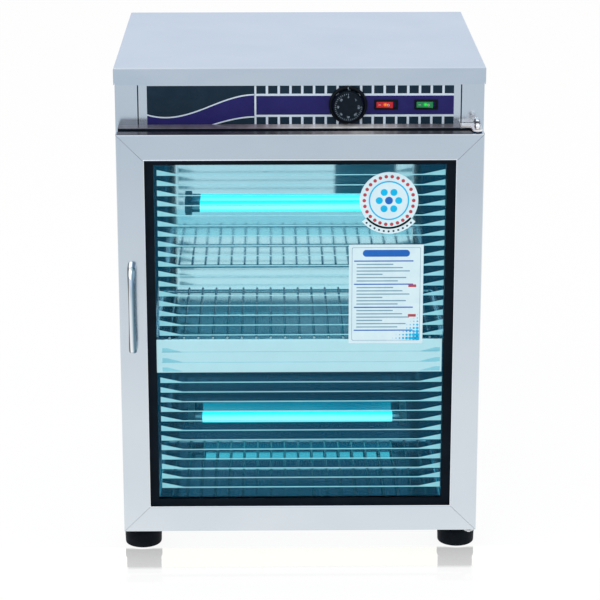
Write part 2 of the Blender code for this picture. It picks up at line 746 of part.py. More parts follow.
def hinge_bracket_top():
    """A plate screwed to the ledge, with a round nose over the door."""
    z = ledge_top + FIT
    right = hinge_x + BRACKET_NOSE
    left = right - BRACKET_WIDTH
    tail = panel_front - BRACKET_SHEET
    shoulder = tail - BRACKET_TAIL
    nose = [(hinge_x + BRACKET_NOSE * math.cos(a), hinge_y + BRACKET_NOSE * math.sin(a))
            for a in [-math.pi * i / 8 for i in range(9)]]
    outline = [(right, tail), *nose, (hinge_x - BRACKET_NOSE, shoulder - BRACKET_NOSE / 2),
               (left, shoulder), (left, tail)]
    shape = bmesh.new()
    prism(shape, outline, "Z", z, z + BRACKET_SHEET)
    bracket = piece("hinge_bracket_top", shape, "chrome")
    pin_hole(bracket, z)
    bush("hinge_bush_top", door_top, 1)
    hinge_pin("hinge_pin_top", z + BRACKET_SHEET, 1)


def hinge_bracket_bottom():
    """An angle on the face of the front frame, whose foot goes under the door."""
    top = door_bottom - BUSH_COLLAR - FIT
    right = hinge_x + BRACKET_NOSE
    left = right - BRACKET_LEG_WIDTH
    back = frame_front - FIT
    nose = [(hinge_x + BRACKET_NOSE * math.cos(a), hinge_y + BRACKET_NOSE * math.sin(a))
            for a in [-math.pi * i / 8 for i in range(9)]]
    shape = bmesh.new()
    prism(shape, [(right, back), *nose, (left, back)], "Z", top - BRACKET_SHEET, top)
    bracket = piece("hinge_bracket_bottom", shape, "chrome")
    leg = bmesh.new()
    block(leg, left, right, back - BRACKET_SHEET, back, top - BRACKET_SHEET, top + BRACKET_LEG)
    weld(bracket, leg)
    pin_hole(bracket, top)
    bush("hinge_bush_bottom", door_bottom, -1)
    hinge_pin("hinge_pin_bottom", top - BRACKET_SHEET, -1)


def pin_hole(bracket, z):
    hole = bmesh.new()
    turned(hole, (hinge_x, hinge_y, z),
           [(PIN_RADIUS + PIN_PLAY, -BRACKET_SHEET - OVERRUN), (PIN_RADIUS + PIN_PLAY, BRACKET_SHEET + OVERRUN)],
           "Z")
    cut(bracket, hole)


# Catch and door switch

def catch():
    x0 = -door_width / 2 + CATCH_EDGE
    strip = Rect(x0, x0 + CATCH_WIDTH, handle_centre - CATCH_LENGTH / 2, handle_centre + CATCH_LENGTH / 2)
    start = door_back + FIT
    shape = bmesh.new()
    loft(shape, [upright(strip, start), upright(strip, start + STRIKER_SHEET)])
    piece("catch_striker", shape, "zinc")
    shape = bmesh.new()
    loft(shape, [upright(shrunk(strip, STRIKER_SHEET / 2), start + STRIKER_SHEET + FIT),
                 upright(strip, start + STRIKER_SHEET + FIT + STRIKER_SHEET / 2),
                 upright(strip, frame_front - FIT)])
    piece("catch_magnet", shape, "black plastic")


def switch_x():
    return -door_width / 2 + SWITCH_EDGE


def door_switch():
    """A body inside the front frame, and a plunger that the closed door just touches."""
    x = switch_x()
    front = frame_front + SHEET + FIT
    body = around(x, switch_height, SWITCH_WIDTH, SWITCH_LENGTH)
    bore = PLUNGER_RADIUS + PLUNGER_PLAY
    shape = bmesh.new()
    loft(shape, [upright(body, front), upright(body, front + SWITCH_DEPTH)])
    holder = piece("door_switch_body", shape, "black plastic")
    hole = bmesh.new()
    turned(hole, (x, front, switch_height),
           [(bore, -OVERRUN), (bore, PLUNGER_ENTRY + PLUNGER_TRAVEL + PLUNGER_PLAY)], "Y")
    cut(holder, hole)
    start = door_back + FIT
    edge = PLUNGER_RADIUS / 4
    length = front + PLUNGER_ENTRY - start
    shape = bmesh.new()
    turned(shape, (x, start, switch_height),
           [(PLUNGER_RADIUS - edge, 0), (PLUNGER_RADIUS, edge), (PLUNGER_RADIUS, length)], "Y")
    piece("door_switch_plunger", shape, "white plastic", pivot=(x, start, switch_height), smooth=True)


# Controls

def thermostat():
    centre = (knob_x, panel_front, panel_middle)
    back = SHEET + FIT
    body = around(knob_x, panel_middle, THERMOSTAT_WIDTH, THERMOSTAT_HEIGHT)
    neck = shrunk(body, THERMOSTAT_HEIGHT * THERMOSTAT_FLANGE_SHARE)
    step = THERMOSTAT_DEPTH * THERMOSTAT_FLANGE_SHARE
    shape = bmesh.new()
    loft(shape, [upright(neck, panel_front + back), upright(neck, panel_front + back + step),
                 upright(body, panel_front + back + step), upright(body, panel_front + back + THERMOSTAT_DEPTH)])
    holder = piece("thermostat_body", shape, "zinc")
    shaft = bmesh.new()
    knob_back = -BOSS_NUT - FIT
    turned(shaft, centre,
           [(BOSS_RADIUS, back + step), (BOSS_RADIUS, -BOSS_NUT), (SHAFT_RADIUS, -BOSS_NUT),
            (SHAFT_RADIUS, knob_back - SHAFT_ENTRY)], "Y")
    weld(holder, shaft)
    edge = KNOB_EDGE
    front = -KNOB_DEPTH
    shape = bmesh.new()
    bore = SHAFT_RADIUS + SHAFT_PLAY
    turned(shape, centre,
           [(bore, knob_back - SHAFT_ENTRY - SHAFT_PLAY), (bore, knob_back), (KNOB_RADIUS, knob_back),
            (KNOB_FACE_RADIUS, front + edge), (KNOB_FACE_RADIUS - edge, front),
            (KNOB_FACE_RADIUS - 2 * edge, front + KNOB_DISH)], "Y", FINE_STEPS)
    piece("thermostat_knob", shape, "black plastic", pivot=centre, smooth=True)
    shape = bmesh.new()
    rim = BEZEL_DEPTH / 4
    turned(shape, centre,
           [(BEZEL_BORE, -FIT), (BEZEL_RADIUS, -FIT), (BEZEL_RADIUS, -BEZEL_DEPTH + rim),
            (BEZEL_RADIUS - rim, -BEZEL_DEPTH), (BEZEL_BORE + rim, -BEZEL_DEPTH),
            (BEZEL_BORE, -BEZEL_DEPTH + rim)], "Y", FINE_STEPS, ring=True)
    piece("knob_bezel", shape, "black plastic", smooth=True)


def thermostat_bulb():
    z = mouth.z1 - FIT - BULB_RADIUS
    start = panel_front + BULB_SETBACK
    tip = BULB_RADIUS / 2
    shape = bmesh.new()
    turned(shape, (mouth.x1 - BULB_INSET, start, z),
           [(tip, 0), (BULB_RADIUS, tip), (BULB_RADIUS, BULB_LENGTH - tip), (tip, BULB_LENGTH)], "Y")
    piece("thermostat_bulb", shape, "wire", smooth=True)


def rocker_switch(name, x, finish):
    """A housing with a pocket, and a rocker that rests pressed on its left."""
    flange = around(x, panel_middle, BEZEL_WIDTH, BEZEL_HEIGHT)
    neck = around(x, panel_middle, HOUSING_WIDTH, HOUSING_HEIGHT)
    reach = (ROCKER_LENGTH / 2 + ROCKER_DEPTH * math.sin(ROCKER_TILT)) / math.cos(ROCKER_TILT)
    pocket = around(x, panel_middle, 2 * (reach + ROCKER_PLAY), ROCKER_HEIGHT + 2 * ROCKER_PLAY)
    front = panel_front - FIT - BEZEL_RISE
    pivot_y = front + ROCKER_DEPTH
    floor = pivot_y + ROCKER_DEPTH / 2 + ROCKER_PLAY
    shape = bmesh.new()
    loft(shape, [upright(pocket, floor), upright(pocket, front), upright(shrunk(flange, BEZEL_RISE / 3), front),
                 upright(flange, front + BEZEL_RISE / 3), upright(flange, front + BEZEL_RISE),
                 upright(neck, front + BEZEL_RISE), upright(neck, panel_front + HOUSING_DEPTH)])
    piece(name + "_switch_housing", shape, "black plastic")
    half = ROCKER_LENGTH / 2
    level_outline = [(-half, -ROCKER_DEPTH - ROCKER_RISE), (0, -ROCKER_DEPTH - ROCKER_RISE + ROCKER_DIP),
                     (half, -ROCKER_DEPTH - ROCKER_RISE), (half, -ROCKER_DEPTH / 2),
                     (half / 2, ROCKER_DEPTH / 4), (0, ROCKER_DEPTH / 2), (-half / 2, ROCKER_DEPTH / 4),
                     (-half, -ROCKER_DEPTH / 2)]
    tilt = Matrix.Rotation(-ROCKER_TILT, 2)
    outline = [tilt @ Vector(pair) + Vector((x, pivot_y)) for pair in level_outline]
    shape = bmesh.new()
    prism(shape, outline, "Z", panel_middle - ROCKER_HEIGHT / 2, panel_middle + ROCKER_HEIGHT / 2)
    piece(name + "_rocker", shape, finish, pivot=(x, pivot_y, panel_middle))


# Chamber

def rack(name, z):
    """A rod frame and a middle rod with wires welded across them, front to back."""
    front, back = rack_front, rack_back
    half = mouth.x1 - RACK_SIDE_GAP - RACK_ROD
    corners = [(half, back), (-half, back), (-half, front), (half, front)]
    path = []
    for index, (x, y) in enumerate(corners):
        cx = x - math.copysign(RACK_CORNER, x)
        cy = y - RACK_CORNER if y == back else y + RACK_CORNER
        for k in range(4):
            turn = math.pi / 2 * (index + k / 3)
            path.append((cx + RACK_CORNER * math.cos(turn), cy + RACK_CORNER * math.sin(turn), z))
    shape = bmesh.new()
    flat_tube(shape, path, RACK_ROD, ring=True)
    made = piece(name, shape, "wire", pivot=(0, front, z), smooth=True)
    middle = front + (back - front) * RACK_MIDDLE_ROD_SHARE
    rod = bmesh.new()
    turned(rod, (0, middle, z), [(RACK_ROD, -half), (RACK_ROD, half)], "X", ROD_SIDES)
    weld(made, rod)
    wires = bmesh.new()
    height = z + RACK_ROD + RACK_WIRE - RACK_SINK
    either_side = int((half - RACK_ROD - RACK_WIRE) / RACK_WIRE_PITCH)
    for i in range(-either_side, either_side + 1):
        x = i * RACK_WIRE_PITCH
        turned(wires, (x, front, height),
               [(RACK_WIRE, -RACK_OVERHANG), (RACK_WIRE, back - front + RACK_OVERHANG)], "Y", WIRE_SIDES)
    weld(made, wires)


def rack_rails():
    """Angles on the side walls. The side rods of a rack lie on their flat legs."""
    wall = mouth.x1 - FIT
    start = panel_front + SHEET + FIT + RAIL_SETBACK
    heights = {"upper": upper_rack_height, "lower": lower_rack_height}
    for level_name, rod in heights.items():
        top = rod - RACK_ROD - FIT
        outline = [(wall, top - RAIL_SHEET), (wall, top + RAIL_UPSTAND), (wall - RAIL_SHEET, top + RAIL_UPSTAND),
                   (wall - RAIL_SHEET, top), (wall - RAIL_WIDTH, top), (wall - RAIL_WIDTH, top - RAIL_SHEET)]
        for side, sign in (("left", -1), ("right", 1)):
            pairs = [(sign * x, z) for x, z in outline]
            shape = bmesh.new()
            prism(shape, pairs, "Y", start, liner_back - RAIL_BACK_SPACE)
            piece("rack_rail_" + level_name + "_" + side, shape, "polished steel")


def lamp(name, z):
    """A tube between two upright holders on the back wall."""
    y = liner_back - LAMP_STANDOFF
    half = lamp_length / 2
    shape = bmesh.new()
    turned(shape, (0, y, z),
           [(LAMP_CAP_RADIUS, -half), (LAMP_CAP_RADIUS, -half + LAMP_CAP), (LAMP_RADIUS, -half + LAMP_CAP),
            (LAMP_RADIUS, half - LAMP_CAP), (LAMP_CAP_RADIUS, half - LAMP_CAP), (LAMP_CAP_RADIUS, half)], "X")
    piece("lamp_tube_" + name, shape, "lamp glass", smooth=True)
    radius = HOLDER_WIDTH / 2
    arc = [(y - radius * math.sin(a), z + radius * math.cos(a)) for a in [math.pi * i / 8 for i in range(9)]]
    wall = liner_back - FIT
    spread = radius * (1 + LAMP_HOLDER_RISE_SHARE)
    foot = wall - HOLDER_BASE
    outline = [(wall, z + spread), (foot, z + spread), (foot, z + radius), *arc, (foot, z - radius),
               (foot, z - spread), (wall, z - spread)]
    for side, sign in (("left", -1), ("right", 1)):
        inner = sign * (half + FIT)
        shape = bmesh.new()
        prism(shape, outline, "X", inner, inner + sign * HOLDER_THICKNESS)
        piece("lamp_holder_" + name + "_" + side, shape, "white plastic")


# Electrical pieces

def ballast():
    base = mouth.z1 + SHEET + FIT
    half = BALLAST_WIDTH / 2
    wide = half + BALLAST_FOOT
    y = panel_front + BALLAST_SETBACK
    outline = [(-wide, base), (wide, base), (wide, base + BALLAST_FOOT_SHEET), (half, base + BALLAST_FOOT_SHEET),
               (half, base + BALLAST_HEIGHT), (-half, base + BALLAST_HEIGHT), (-half, base + BALLAST_FOOT_SHEET),
               (-wide, base + BALLAST_FOOT_SHEET)]
    shape = bmesh.new()
    x = mouth.x1 - BALLAST_INSET
    prism(shape, [(y + a, z) for a, z in outline], "X", x - BALLAST_LENGTH / 2, x + BALLAST_LENGTH / 2)
    piece("lamp_ballast", shape, "core steel")


def starter():
    base = mouth.z1 + SHEET + FIT
    centre = (mouth.x1 - BALLAST_INSET - STARTER_SPACING, panel_front + BALLAST_SETBACK, base)
    pocket = SOCKET_HEIGHT / 2
    shape = bmesh.new()
    turned(shape, centre,
           [(STARTER_RADIUS + FIT, pocket), (STARTER_RADIUS + FIT, SOCKET_HEIGHT), (SOCKET_RADIUS, SOCKET_HEIGHT),
            (SOCKET_RADIUS, 0)], "Z")
    piece("starter_socket", shape, "white plastic", smooth=True)
    shape = bmesh.new()
    edge = STARTER_RADIUS / 6
    turned(shape, centre,
           [(STARTER_RADIUS, pocket + FIT), (STARTER_RADIUS, pocket + STARTER_LENGTH - edge),
            (STARTER_RADIUS - edge, pocket + STARTER_LENGTH)], "Z")
    piece("lamp_starter", shape, "white plastic", smooth=True)


def heater():
    """One sheathed rod that runs back and forth under the liner, on two strips."""
    floor = body_bottom + SHEET + FIT
    z = floor + HEATER_STRIP_RISE + FIT + HEATER_RADIUS
    pitch = HEATER_SPAN / (HEATER_LEGS - 1)
    radius = pitch / 2
    front = panel_front + HEATER_SETBACK
    back = liner_back - HEATER_BACK_SPACE - radius
    path = [(-HEATER_SPAN / 2, back + radius, z)]
    for leg in range(HEATER_LEGS):
        x = -HEATER_SPAN / 2 + leg * pitch
        forward = leg % 2 == 0
        first, second = (back, front) if forward else (front, back)
        path += [(x, first, z), (x, second, z)]
        if leg < HEATER_LEGS - 1:
            bulge = -1 if forward else 1
            path += [(x + radius - radius * math.cos(a), second + bulge * radius * math.sin(a), z)
                     for a in [math.pi * k / 6 for k in range(1, 6)]]
    path.append((HEATER_SPAN / 2, back + radius, z))
    shape = bmesh.new()
    flat_tube(shape, path, HEATER_RADIUS)
    piece("heater_element", shape, "heater sheath", smooth=True)
    for name, y in (("heater_bracket_front", front), ("heater_bracket_back", back)):
        half = HEATER_SPAN / 2 + HEATER_STRIP
        shape = bmesh.new()
        block(shape, -half, half, y - HEATER_STRIP / 2, y + HEATER_STRIP / 2, floor, floor + HEATER_STRIP_RISE)
        piece(name, shape, "zinc")


def cable_gland():
    centre = (gland_x, body_back, GLAND_HEIGHT)
    edge = GLAND_REACH / 4
    shape = bmesh.new()
    turned(shape, centre,
           [(GLAND_BORE, -GLAND_NECK), (GLAND_NECK_RADIUS, -GLAND_NECK), (GLAND_NECK_RADIUS, FIT),
            (GLAND_RADIUS, FIT), (GLAND_RADIUS, GLAND_REACH - edge), (GLAND_RADIUS - edge, GLAND_REACH),
            (GLAND_BORE, GLAND_REACH)], "Y", ring=True)
    piece("cable_gland", shape, "black plastic", smooth=True)


clear_scene()
outer_casing()
back_panel()
top_cover()
front_frame()
control_panel()
inner_liner()
insulation()
feet()
door_members()
door_glass()
glazing_gasket()
door_back_retainer()
door_seal()
door_handle()
hinge_bracket_top()
hinge_bracket_bottom()
catch()
door_switch()
thermostat()
thermostat_bulb()
rocker_switch("power", power_x, "red plastic")
rocker_switch("lamp", lamp_switch_x, "green plastic")
rack("upper_rack", upper_rack_height)
rack("lower_rack", lower_rack_height)
rack_rails()
lamp("upper", upper_rack_height + UPPER_LAMP_RISE)
lamp("lower", lower_rack_height + LOWER_LAMP_RISE)
ballast()
starter()
heater()
cable_gland()
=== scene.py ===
# Dish sterilizer cabinet: finishes, printed marks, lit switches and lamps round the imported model.
# Metres, +Z up, front towards -Y. Every piece's object sits at the origin, with its place in its mesh.
import math

import bmesh
import bpy
import numpy as np
from mathutils import Matrix, Vector


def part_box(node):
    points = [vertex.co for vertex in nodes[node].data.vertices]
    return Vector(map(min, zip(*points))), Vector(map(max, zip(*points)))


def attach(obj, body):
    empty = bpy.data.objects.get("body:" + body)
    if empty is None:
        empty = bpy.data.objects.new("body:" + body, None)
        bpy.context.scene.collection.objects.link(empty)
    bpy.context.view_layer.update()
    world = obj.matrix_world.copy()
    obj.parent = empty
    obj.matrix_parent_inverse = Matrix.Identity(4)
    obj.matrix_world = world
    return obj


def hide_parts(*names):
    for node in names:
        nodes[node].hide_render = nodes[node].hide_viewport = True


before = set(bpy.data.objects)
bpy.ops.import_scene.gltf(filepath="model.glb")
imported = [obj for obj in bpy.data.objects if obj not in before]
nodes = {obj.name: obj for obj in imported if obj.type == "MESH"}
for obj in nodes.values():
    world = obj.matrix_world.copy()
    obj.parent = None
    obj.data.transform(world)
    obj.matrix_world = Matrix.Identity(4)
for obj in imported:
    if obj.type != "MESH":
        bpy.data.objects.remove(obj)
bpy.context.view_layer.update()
print("frame loaded,", len(nodes), "nodes")

mm = 0.001


# Surfaces. A shell is a pair: an array of points, and a list of faces as point numbers.

def boxMiddle(node):
    # a node's low corner, its high corner and the middle between them
    low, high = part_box(node)
    return low, high, tuple((a + b) / 2 for a, b in zip(low, high))


def gridFaces(rows, columns, wrapRows, wrapColumns):
    # face (i, j) joins the points (i, j), (i + 1, j), (i + 1, j + 1) and (i, j + 1) of the grid
    i = np.arange(rows if wrapRows else rows - 1)[:, None]
    j = np.arange(columns if wrapColumns else columns - 1)[None, :]
    below, beside = (i + 1) % rows, (j + 1) % columns
    corners = [(a * columns + b).ravel() for a, b in ((i, j), (below, j), (below, beside), (i, beside))]
    return np.stack(corners, 1).tolist()


def skin(points, wrapRows=False, wrapColumns=True, capped=True):
    # a grid of points as one shell, whose first and last rows are closed by a face each
    rows, columns = points.shape[:2]
    faces = gridFaces(rows, columns, wrapRows, wrapColumns)
    if capped and not wrapRows:
        faces += [list(range(columns)), list(range((rows - 1) * columns, rows * columns))]
    return points.reshape(-1, 3), faces


def placed(across, along, centre, axis):
    # pairs across the axis and a length along it become points: centre + both, with the axis as X, Y or Z
    order = {"X": (2, 0, 1), "Y": (0, 2, 1), "Z": (0, 1, 2)}[axis]
    parts = (across[..., 0], across[..., 1], np.broadcast_to(along, across.shape[:-1]))
    return np.stack([parts[order[k]] + centre[k] for k in range(3)], -1)


def turned(centre, axis, profile, steps=48, flutes=0, fluteDepth=0.0, ring=False):
    # radius r and height h of the profile turned round the axis: (r cos t, r sin t, h),
    # where r shrinks by fluteDepth x (1 - cos(flutes x t)) / 2 if there are flutes
    radius, height = np.array(profile, float).T
    t = np.linspace(0, 2 * np.pi, steps, endpoint=False)
    waist = 1 - fluteDepth * (1 - np.cos(flutes * t)) / 2
    r = radius[:, None] * waist[None, :]
    across = np.stack([r * np.cos(t), r * np.sin(t)], -1)
    return skin(placed(across, height[:, None], centre, axis), wrapRows=ring)


def rounded(corners, radius, steps=5):
    # a profile whose inner corners become arcs: from each corner, the quadratic blend
    # (1 - s)^2 a + 2 s (1 - s) corner + s^2 b between points a and b that lie a radius before and after it
    p = np.array(corners, float)
    s = np.linspace(0, 1, steps)[:, None]
    made = [p[:1]]
    for before, corner, after in zip(p[:-2], p[1:-1], p[2:]):
        reach = [min(radius, 0.49 * np.linalg.norm(end - corner)) for end in (before, after)]
        a = corner + (before - corner) / np.linalg.norm(before - corner) * reach[0]
        b = corner + (after - corner) / np.linalg.norm(after - corner) * reach[1]
        made.append((1 - s) ** 2 * a + 2 * s * (1 - s) * corner + s ** 2 * b)
    return np.vstack(made + [p[-1:]])


def uprightLoop(outline, y):
    # an outline of (x, z) as points at this depth
    return np.stack([outline[:, 0], np.full(len(outline), y), outline[:, 1]], -1)


def levelLoop(outline, z):
    # an outline of (x, y) as points at this height
    return np.stack([outline[:, 0], outline[:, 1], np.full(len(outline), z)], -1)


def ribbon(x, low, high, front, back):
    # a thin strip that faces the front: at each x its section is the box low..high by front..back
    x = np.asarray(x, float)
    low, high = np.broadcast_to(low, x.shape), np.broadcast_to(high, x.shape)
    corners = [(front, low), (front, high), (back, high), (back, low)]
    loops = [np.stack([x, np.full_like(x, y), z], -1) for y, z in corners]
    return skin(np.stack(loops, 1))


def plate(outline, front, back, edge=0.0, steps=4):
    # an outline of (x, z) pushed from front to back. With an edge, its front rim is a quarter circle:
    # inward by edge x (1 - cos a), forward by edge x sin a
    outline = np.asarray(outline, float)
    if not edge:
        loops = [(0.0, front), (0.0, back)]
    else:
        a = np.linspace(0, np.pi / 2, steps)[::-1]
        sign = math.copysign(1, back - front)
        loops = [(edge * (1 - math.cos(t)), front + sign * edge * (1 - math.sin(t))) for t in a]
        loops.append((0.0, back))
    inward = inwardNormals(outline)
    return skin(np.stack([uprightLoop(outline + inward * by, y) for by, y in loops]))


def inwardNormals(outline):
    # the unit vector square to the line between a point's neighbours, turned to the outline's inside
    step = np.roll(outline, -1, 0) - np.roll(outline, 1, 0)
    normal = np.stack([-step[:, 1], step[:, 0]], -1)
    normal /= np.maximum(np.linalg.norm(normal, axis=1, keepdims=True), 1e-9)
    after = np.roll(outline, -1, 0)
    area = np.sum(outline[:, 0] * after[:, 1] - after[:, 0] * outline[:, 1])
    return normal * math.copysign(1, area)


def band(outer, inner, front, back):
    # the ring between two outlines with as many points each
    pairs = ((outer, front), (inner, front), (inner, back), (outer, back))
    return skin(np.stack([uprightLoop(outline, y) for outline, y in pairs]), wrapRows=True)


def roundedBox(centre, size, corner, steps=6):
    # four quarter circles round the corners of a box, anticlockwise
    x, z = centre
    corner = min(corner, min(size) / 2 * 0.999)
    reach = np.array(size) / 2 - corner
    t = np.linspace(0, np.pi / 2, steps)
    sides = [((1, 1), 0), ((-1, 1), 1), ((-1, -1), 2), ((1, -1), 3)]
    arcs = [np.stack([x + sx * reach[0] + corner * np.cos(t + k * np.pi / 2),
                      z + sz * reach[1] + corner * np.sin(t + k * np.pi / 2)], -1) for (sx, sz), k in sides]
    return np.vstack(arcs)


def circleOutline(centre, radius, steps=48):
    t = np.linspace(0, 2 * np.pi, steps, endpoint=False)
    return np.stack([centre[0] + radius * np.cos(t), centre[1] + radius * np.sin(t)], -1)


def tube(path, radius, sides=12, ring=False):
    # a circle carried along a path: at each point it lies square to the line between the point's neighbours
    path = np.asarray(path, float)
    after = np.roll(path, -1, 0) if ring else np.vstack([path[1:], path[-1:]])
    before = np.roll(path, 1, 0) if ring else np.vstack([path[:1], path[:-1]])
    tangent = after - before
    tangent /= np.linalg.norm(tangent, axis=1, keepdims=True)
    up = np.array([0.0, 0.0, 1.0])
    side = np.cross(tangent, up)
    side /= np.linalg.norm(side, axis=1, keepdims=True)
    top = np.cross(side, tangent)
    t = np.linspace(0, 2 * np.pi, sides, endpoint=False)
    radius = np.broadcast_to(radius, len(path))[:, None, None]
    loops = path[:, None] + radius * (side[:, None] * np.cos(t)[:, None] + top[:, None] * np.sin(t)[:, None])
    return skin(loops, wrapRows=ring)


def capsule(length, radius, steps=5):
    # the profile of a rod with round ends: radius x sin a at radius x (1 - cos a) from each end
    a = np.linspace(0.12, np.pi / 2, steps)
    rim = np.stack([radius * np.sin(a), radius * (1 - np.cos(a))], -1)
    return np.vstack([rim, np.stack([rim[::-1, 0], length - rim[::-1, 1]], -1)])


def makePiece(name, body, shells, materials, stands=(), crease=35):
    # shells are (points, faces) or (points, faces, material number)
    points, faces, numbers, start = [], [], [], 0
    for shell in shells:
        own, cells = shell[:2]
        points.append(own)
        faces += [[start + v for v in cell] for cell in cells]
        numbers += [shell[2] if len(shell) > 2 else 0] * len(cells)
        start += len(own)
    mesh = bpy.data.meshes.new(name)
    mesh.from_pydata(np.vstack(points).tolist(), [], faces)
    for material in materials:
        mesh.materials.append(material)
    mesh.polygons.foreach_set("material_index", numbers)
    whole = bmesh.new()
    whole.from_mesh(mesh)
    bmesh.ops.recalc_face_normals(whole, faces=whole.faces)
    whole.to_mesh(mesh)
    whole.free()
    mesh.shade_smooth()
    mesh.set_sharp_from_angle(angle=math.radians(crease))
    piece = bpy.data.objects.new(name, mesh)
    bpy.context.scene.collection.objects.link(piece)
    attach(piece, body)
    if stands:
        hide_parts(*stands)
    return piece


def textShell(words, size, place, thickness):
    # a text becomes a mesh, centred, and then the place turns and moves it
    curve = bpy.data.curves.new("mark", "FONT")
    curve.body = words
    curve.size = size
    curve.align_x, curve.align_y = "CENTER", "CENTER"
    curve.extrude = thickness / 2
    curve.resolution_u = 3
    holder = bpy.data.objects.new("mark", curve)
    bpy.context.scene.collection.objects.link(holder)
    bpy.context.view_layer.update()
    mesh = bpy.data.meshes.new_from_object(holder)
    bpy.data.objects.remove(holder)
    whole = bmesh.new()
    whole.from_mesh(mesh)
    bmesh.ops.remove_doubles(whole, verts=whole.verts, dist=size / 2000)
    whole.to_mesh(mesh)
    whole.free()
    mesh.transform(place)
    points = np.zeros(len(mesh.vertices) * 3)
    mesh.vertices.foreach_get("co", points)
    return points.reshape(-1, 3), [list(face.vertices) for face in mesh.polygons]


# Materials
noiseSpan = (0.3, 0.7)
bumpReach = 0.2 * mm


def startMaterial(name):
    made = bpy.data.materials.new(name)
    made.use_nodes = True
    tree = made.node_tree
    return made, tree, tree.nodes["Principled BSDF"]


def feed(tree, node, socket, source, output):
    tree.links.new(source.outputs[output], node.inputs[socket])


def addNode(tree, kind, links=(), **values):
    # links are (input, other node, its output); values set the node's own fields
    made = tree.nodes.new("ShaderNode" + kind)
    for field, value in values.items():
        setattr(made, field, value)
    for link in links:
        feed(tree, made, *link)
    return made


def setInputs(node, values):
    for socket, value in values.items():
        node.inputs[socket].default_value = value


def noiseNode(tree, scale, detail=3.0, roughness=0.5, distortion=0.0):
    # a noise on Object coordinates. The scale is in turns per metre: one number, or one for each direction
    place = addNode(tree, "TexCoord")
    stretch = addNode(tree, "Mapping", [("Vector", place, "Object")])
    stretch.inputs["Scale"].default_value = scale if isinstance(scale, tuple) else (scale,) * 3
    noise = addNode(tree, "TexNoise", [("Vector", stretch, "Vector")])
    setInputs(noise, {"Scale": 1.0, "Detail": detail, "Roughness": roughness, "Distortion": distortion})
    return noise


def rangeNode(tree, source, output, low, high, toLow, toHigh):
    made = addNode(tree, "MapRange", [("Value", source, output)])
    for socket, value in (("From Min", low), ("From Max", high), ("To Min", toLow), ("To Max", toHigh)):
        made.inputs[socket].default_value = value
    return made


def mixNode(tree, factor, output, first, second):
    made = addNode(tree, "Mix", data_type="RGBA")
    feed(tree, made, 0, factor, output)
    setInputs(made, {6: (*first, 1), 7: (*second, 1)})
    return made


def rampNode(tree, source, output, stops):
    # stops are (position, colour), in order
    made = addNode(tree, "ValToRGB", [("Fac", source, output)])
    elements = made.color_ramp.elements
    for element, (at, color) in zip((elements[0], elements[1]), (stops[0], stops[-1])):
        element.position, element.color = at, (*color, 1)
    for at, color in stops[1:-1]:
        elements.new(at).color = (*color, 1)
    return made


def alongNode(tree, axis, low, high):
    # 0 to 1 along one axis of the Object coordinates
    place = addNode(tree, "TexCoord")
    split = addNode(tree, "SeparateXYZ", [("Vector", place, "Object")])
    return rangeNode(tree, split, axis, low, high, 0.0, 1.0)


def variedMaterial(name, color, shade, roughness, metallic=0.0, cloud=9, grain=900,
                   grainDepth=0.02, spread=(0.35, 0.65), specular=0.5, glow=None):
    # colour moves between two tints with a broad noise, roughness and bump follow a fine one
    made, tree, shader = startMaterial(name)
    broad = noiseNode(tree, cloud, 4.0, 0.55, 0.4)
    amount = rangeNode(tree, broad, "Fac", spread[0], spread[1], 0.0, 1.0)
    tint = mixNode(tree, amount, "Result", color, shade)
    feed(tree, shader, "Base Color", tint, 2)
    fine = noiseNode(tree, grain, 3.0)
    gloss = rangeNode(tree, fine, "Fac", *noiseSpan, roughness[0], roughness[1])
    feed(tree, shader, "Roughness", gloss, "Result")
    bump = addNode(tree, "Bump", [("Height", fine, "Fac")])
    setInputs(bump, {"Strength": grainDepth, "Distance": bumpReach})
    feed(tree, shader, "Normal", bump, "Normal")
    setInputs(shader, {"Metallic": metallic, "Specular IOR Level": specular})
    if glow:
        shader.inputs["Emission Color"].default_value = (*glow, 1)
        shader.inputs["Emission Strength"].default_value = 1.0
    return made


# painted lamp light: a faint teal glow on the liner, the racks, the sensing bulb, the lamp holders and the
# lamp caps, standing for the lamps' light falling on them
paintedLampGlow = (0.001, 0.026, 0.044)
steel = {
    "color": (0.70, 0.755, 0.80), "shade": (0.655, 0.715, 0.77),
    "roughness": (0.13, 0.19), "cloud": (5, 5, 7),
    "levelGrain": (18, 1400, 1400), "uprightGrain": (1400, 1400, 18), "grainDepth": 0.03,
}
levelSteel = variedMaterial("levelPolishedSteel", steel["color"], steel["shade"], steel["roughness"], 1.0,
                            steel["cloud"], steel["levelGrain"], steel["grainDepth"])
uprightSteel = variedMaterial("uprightPolishedSteel", steel["color"], steel["shade"], steel["roughness"],
                              1.0, steel["cloud"], steel["uprightGrain"], steel["grainDepth"])
lipSteel = variedMaterial("coverSteel", (0.70, 0.755, 0.81), (0.64, 0.705, 0.77), (0.14, 0.20), 1.0,
                          (6, 6, 16), (18, 1400, 1400), 0.03)
mirrorSteel = variedMaterial("mirrorSteel", (0.66, 0.74, 0.78), (0.62, 0.71, 0.76), (0.03, 0.06), 1.0, 6,
                             (30, 700, 700), 0.01)
chrome = variedMaterial("chromePlate", (0.82, 0.84, 0.86), (0.76, 0.79, 0.82), (0.04, 0.08), 1.0,
                        40, 900, 0.01)
# the wires' dark teal is painted shade, and their glow is the painted lamp light
wireSteelPaintedShade = variedMaterial("drawnWire", (0.03, 0.13, 0.19), (0.015, 0.09, 0.14), (0.16, 0.30), 0.8, 60,
                           (1500, 60, 1500), 0.03, glow=paintedLampGlow)
# the rods' and the sensing bulb's teal tint and glow are painted lamp light
rodSteel = variedMaterial("rackRod", (0.36, 0.56, 0.62), (0.24, 0.44, 0.51), (0.12, 0.22), 1.0,
                          (30, 60, 60), (60, 1500, 1500), 0.03, glow=paintedLampGlow)
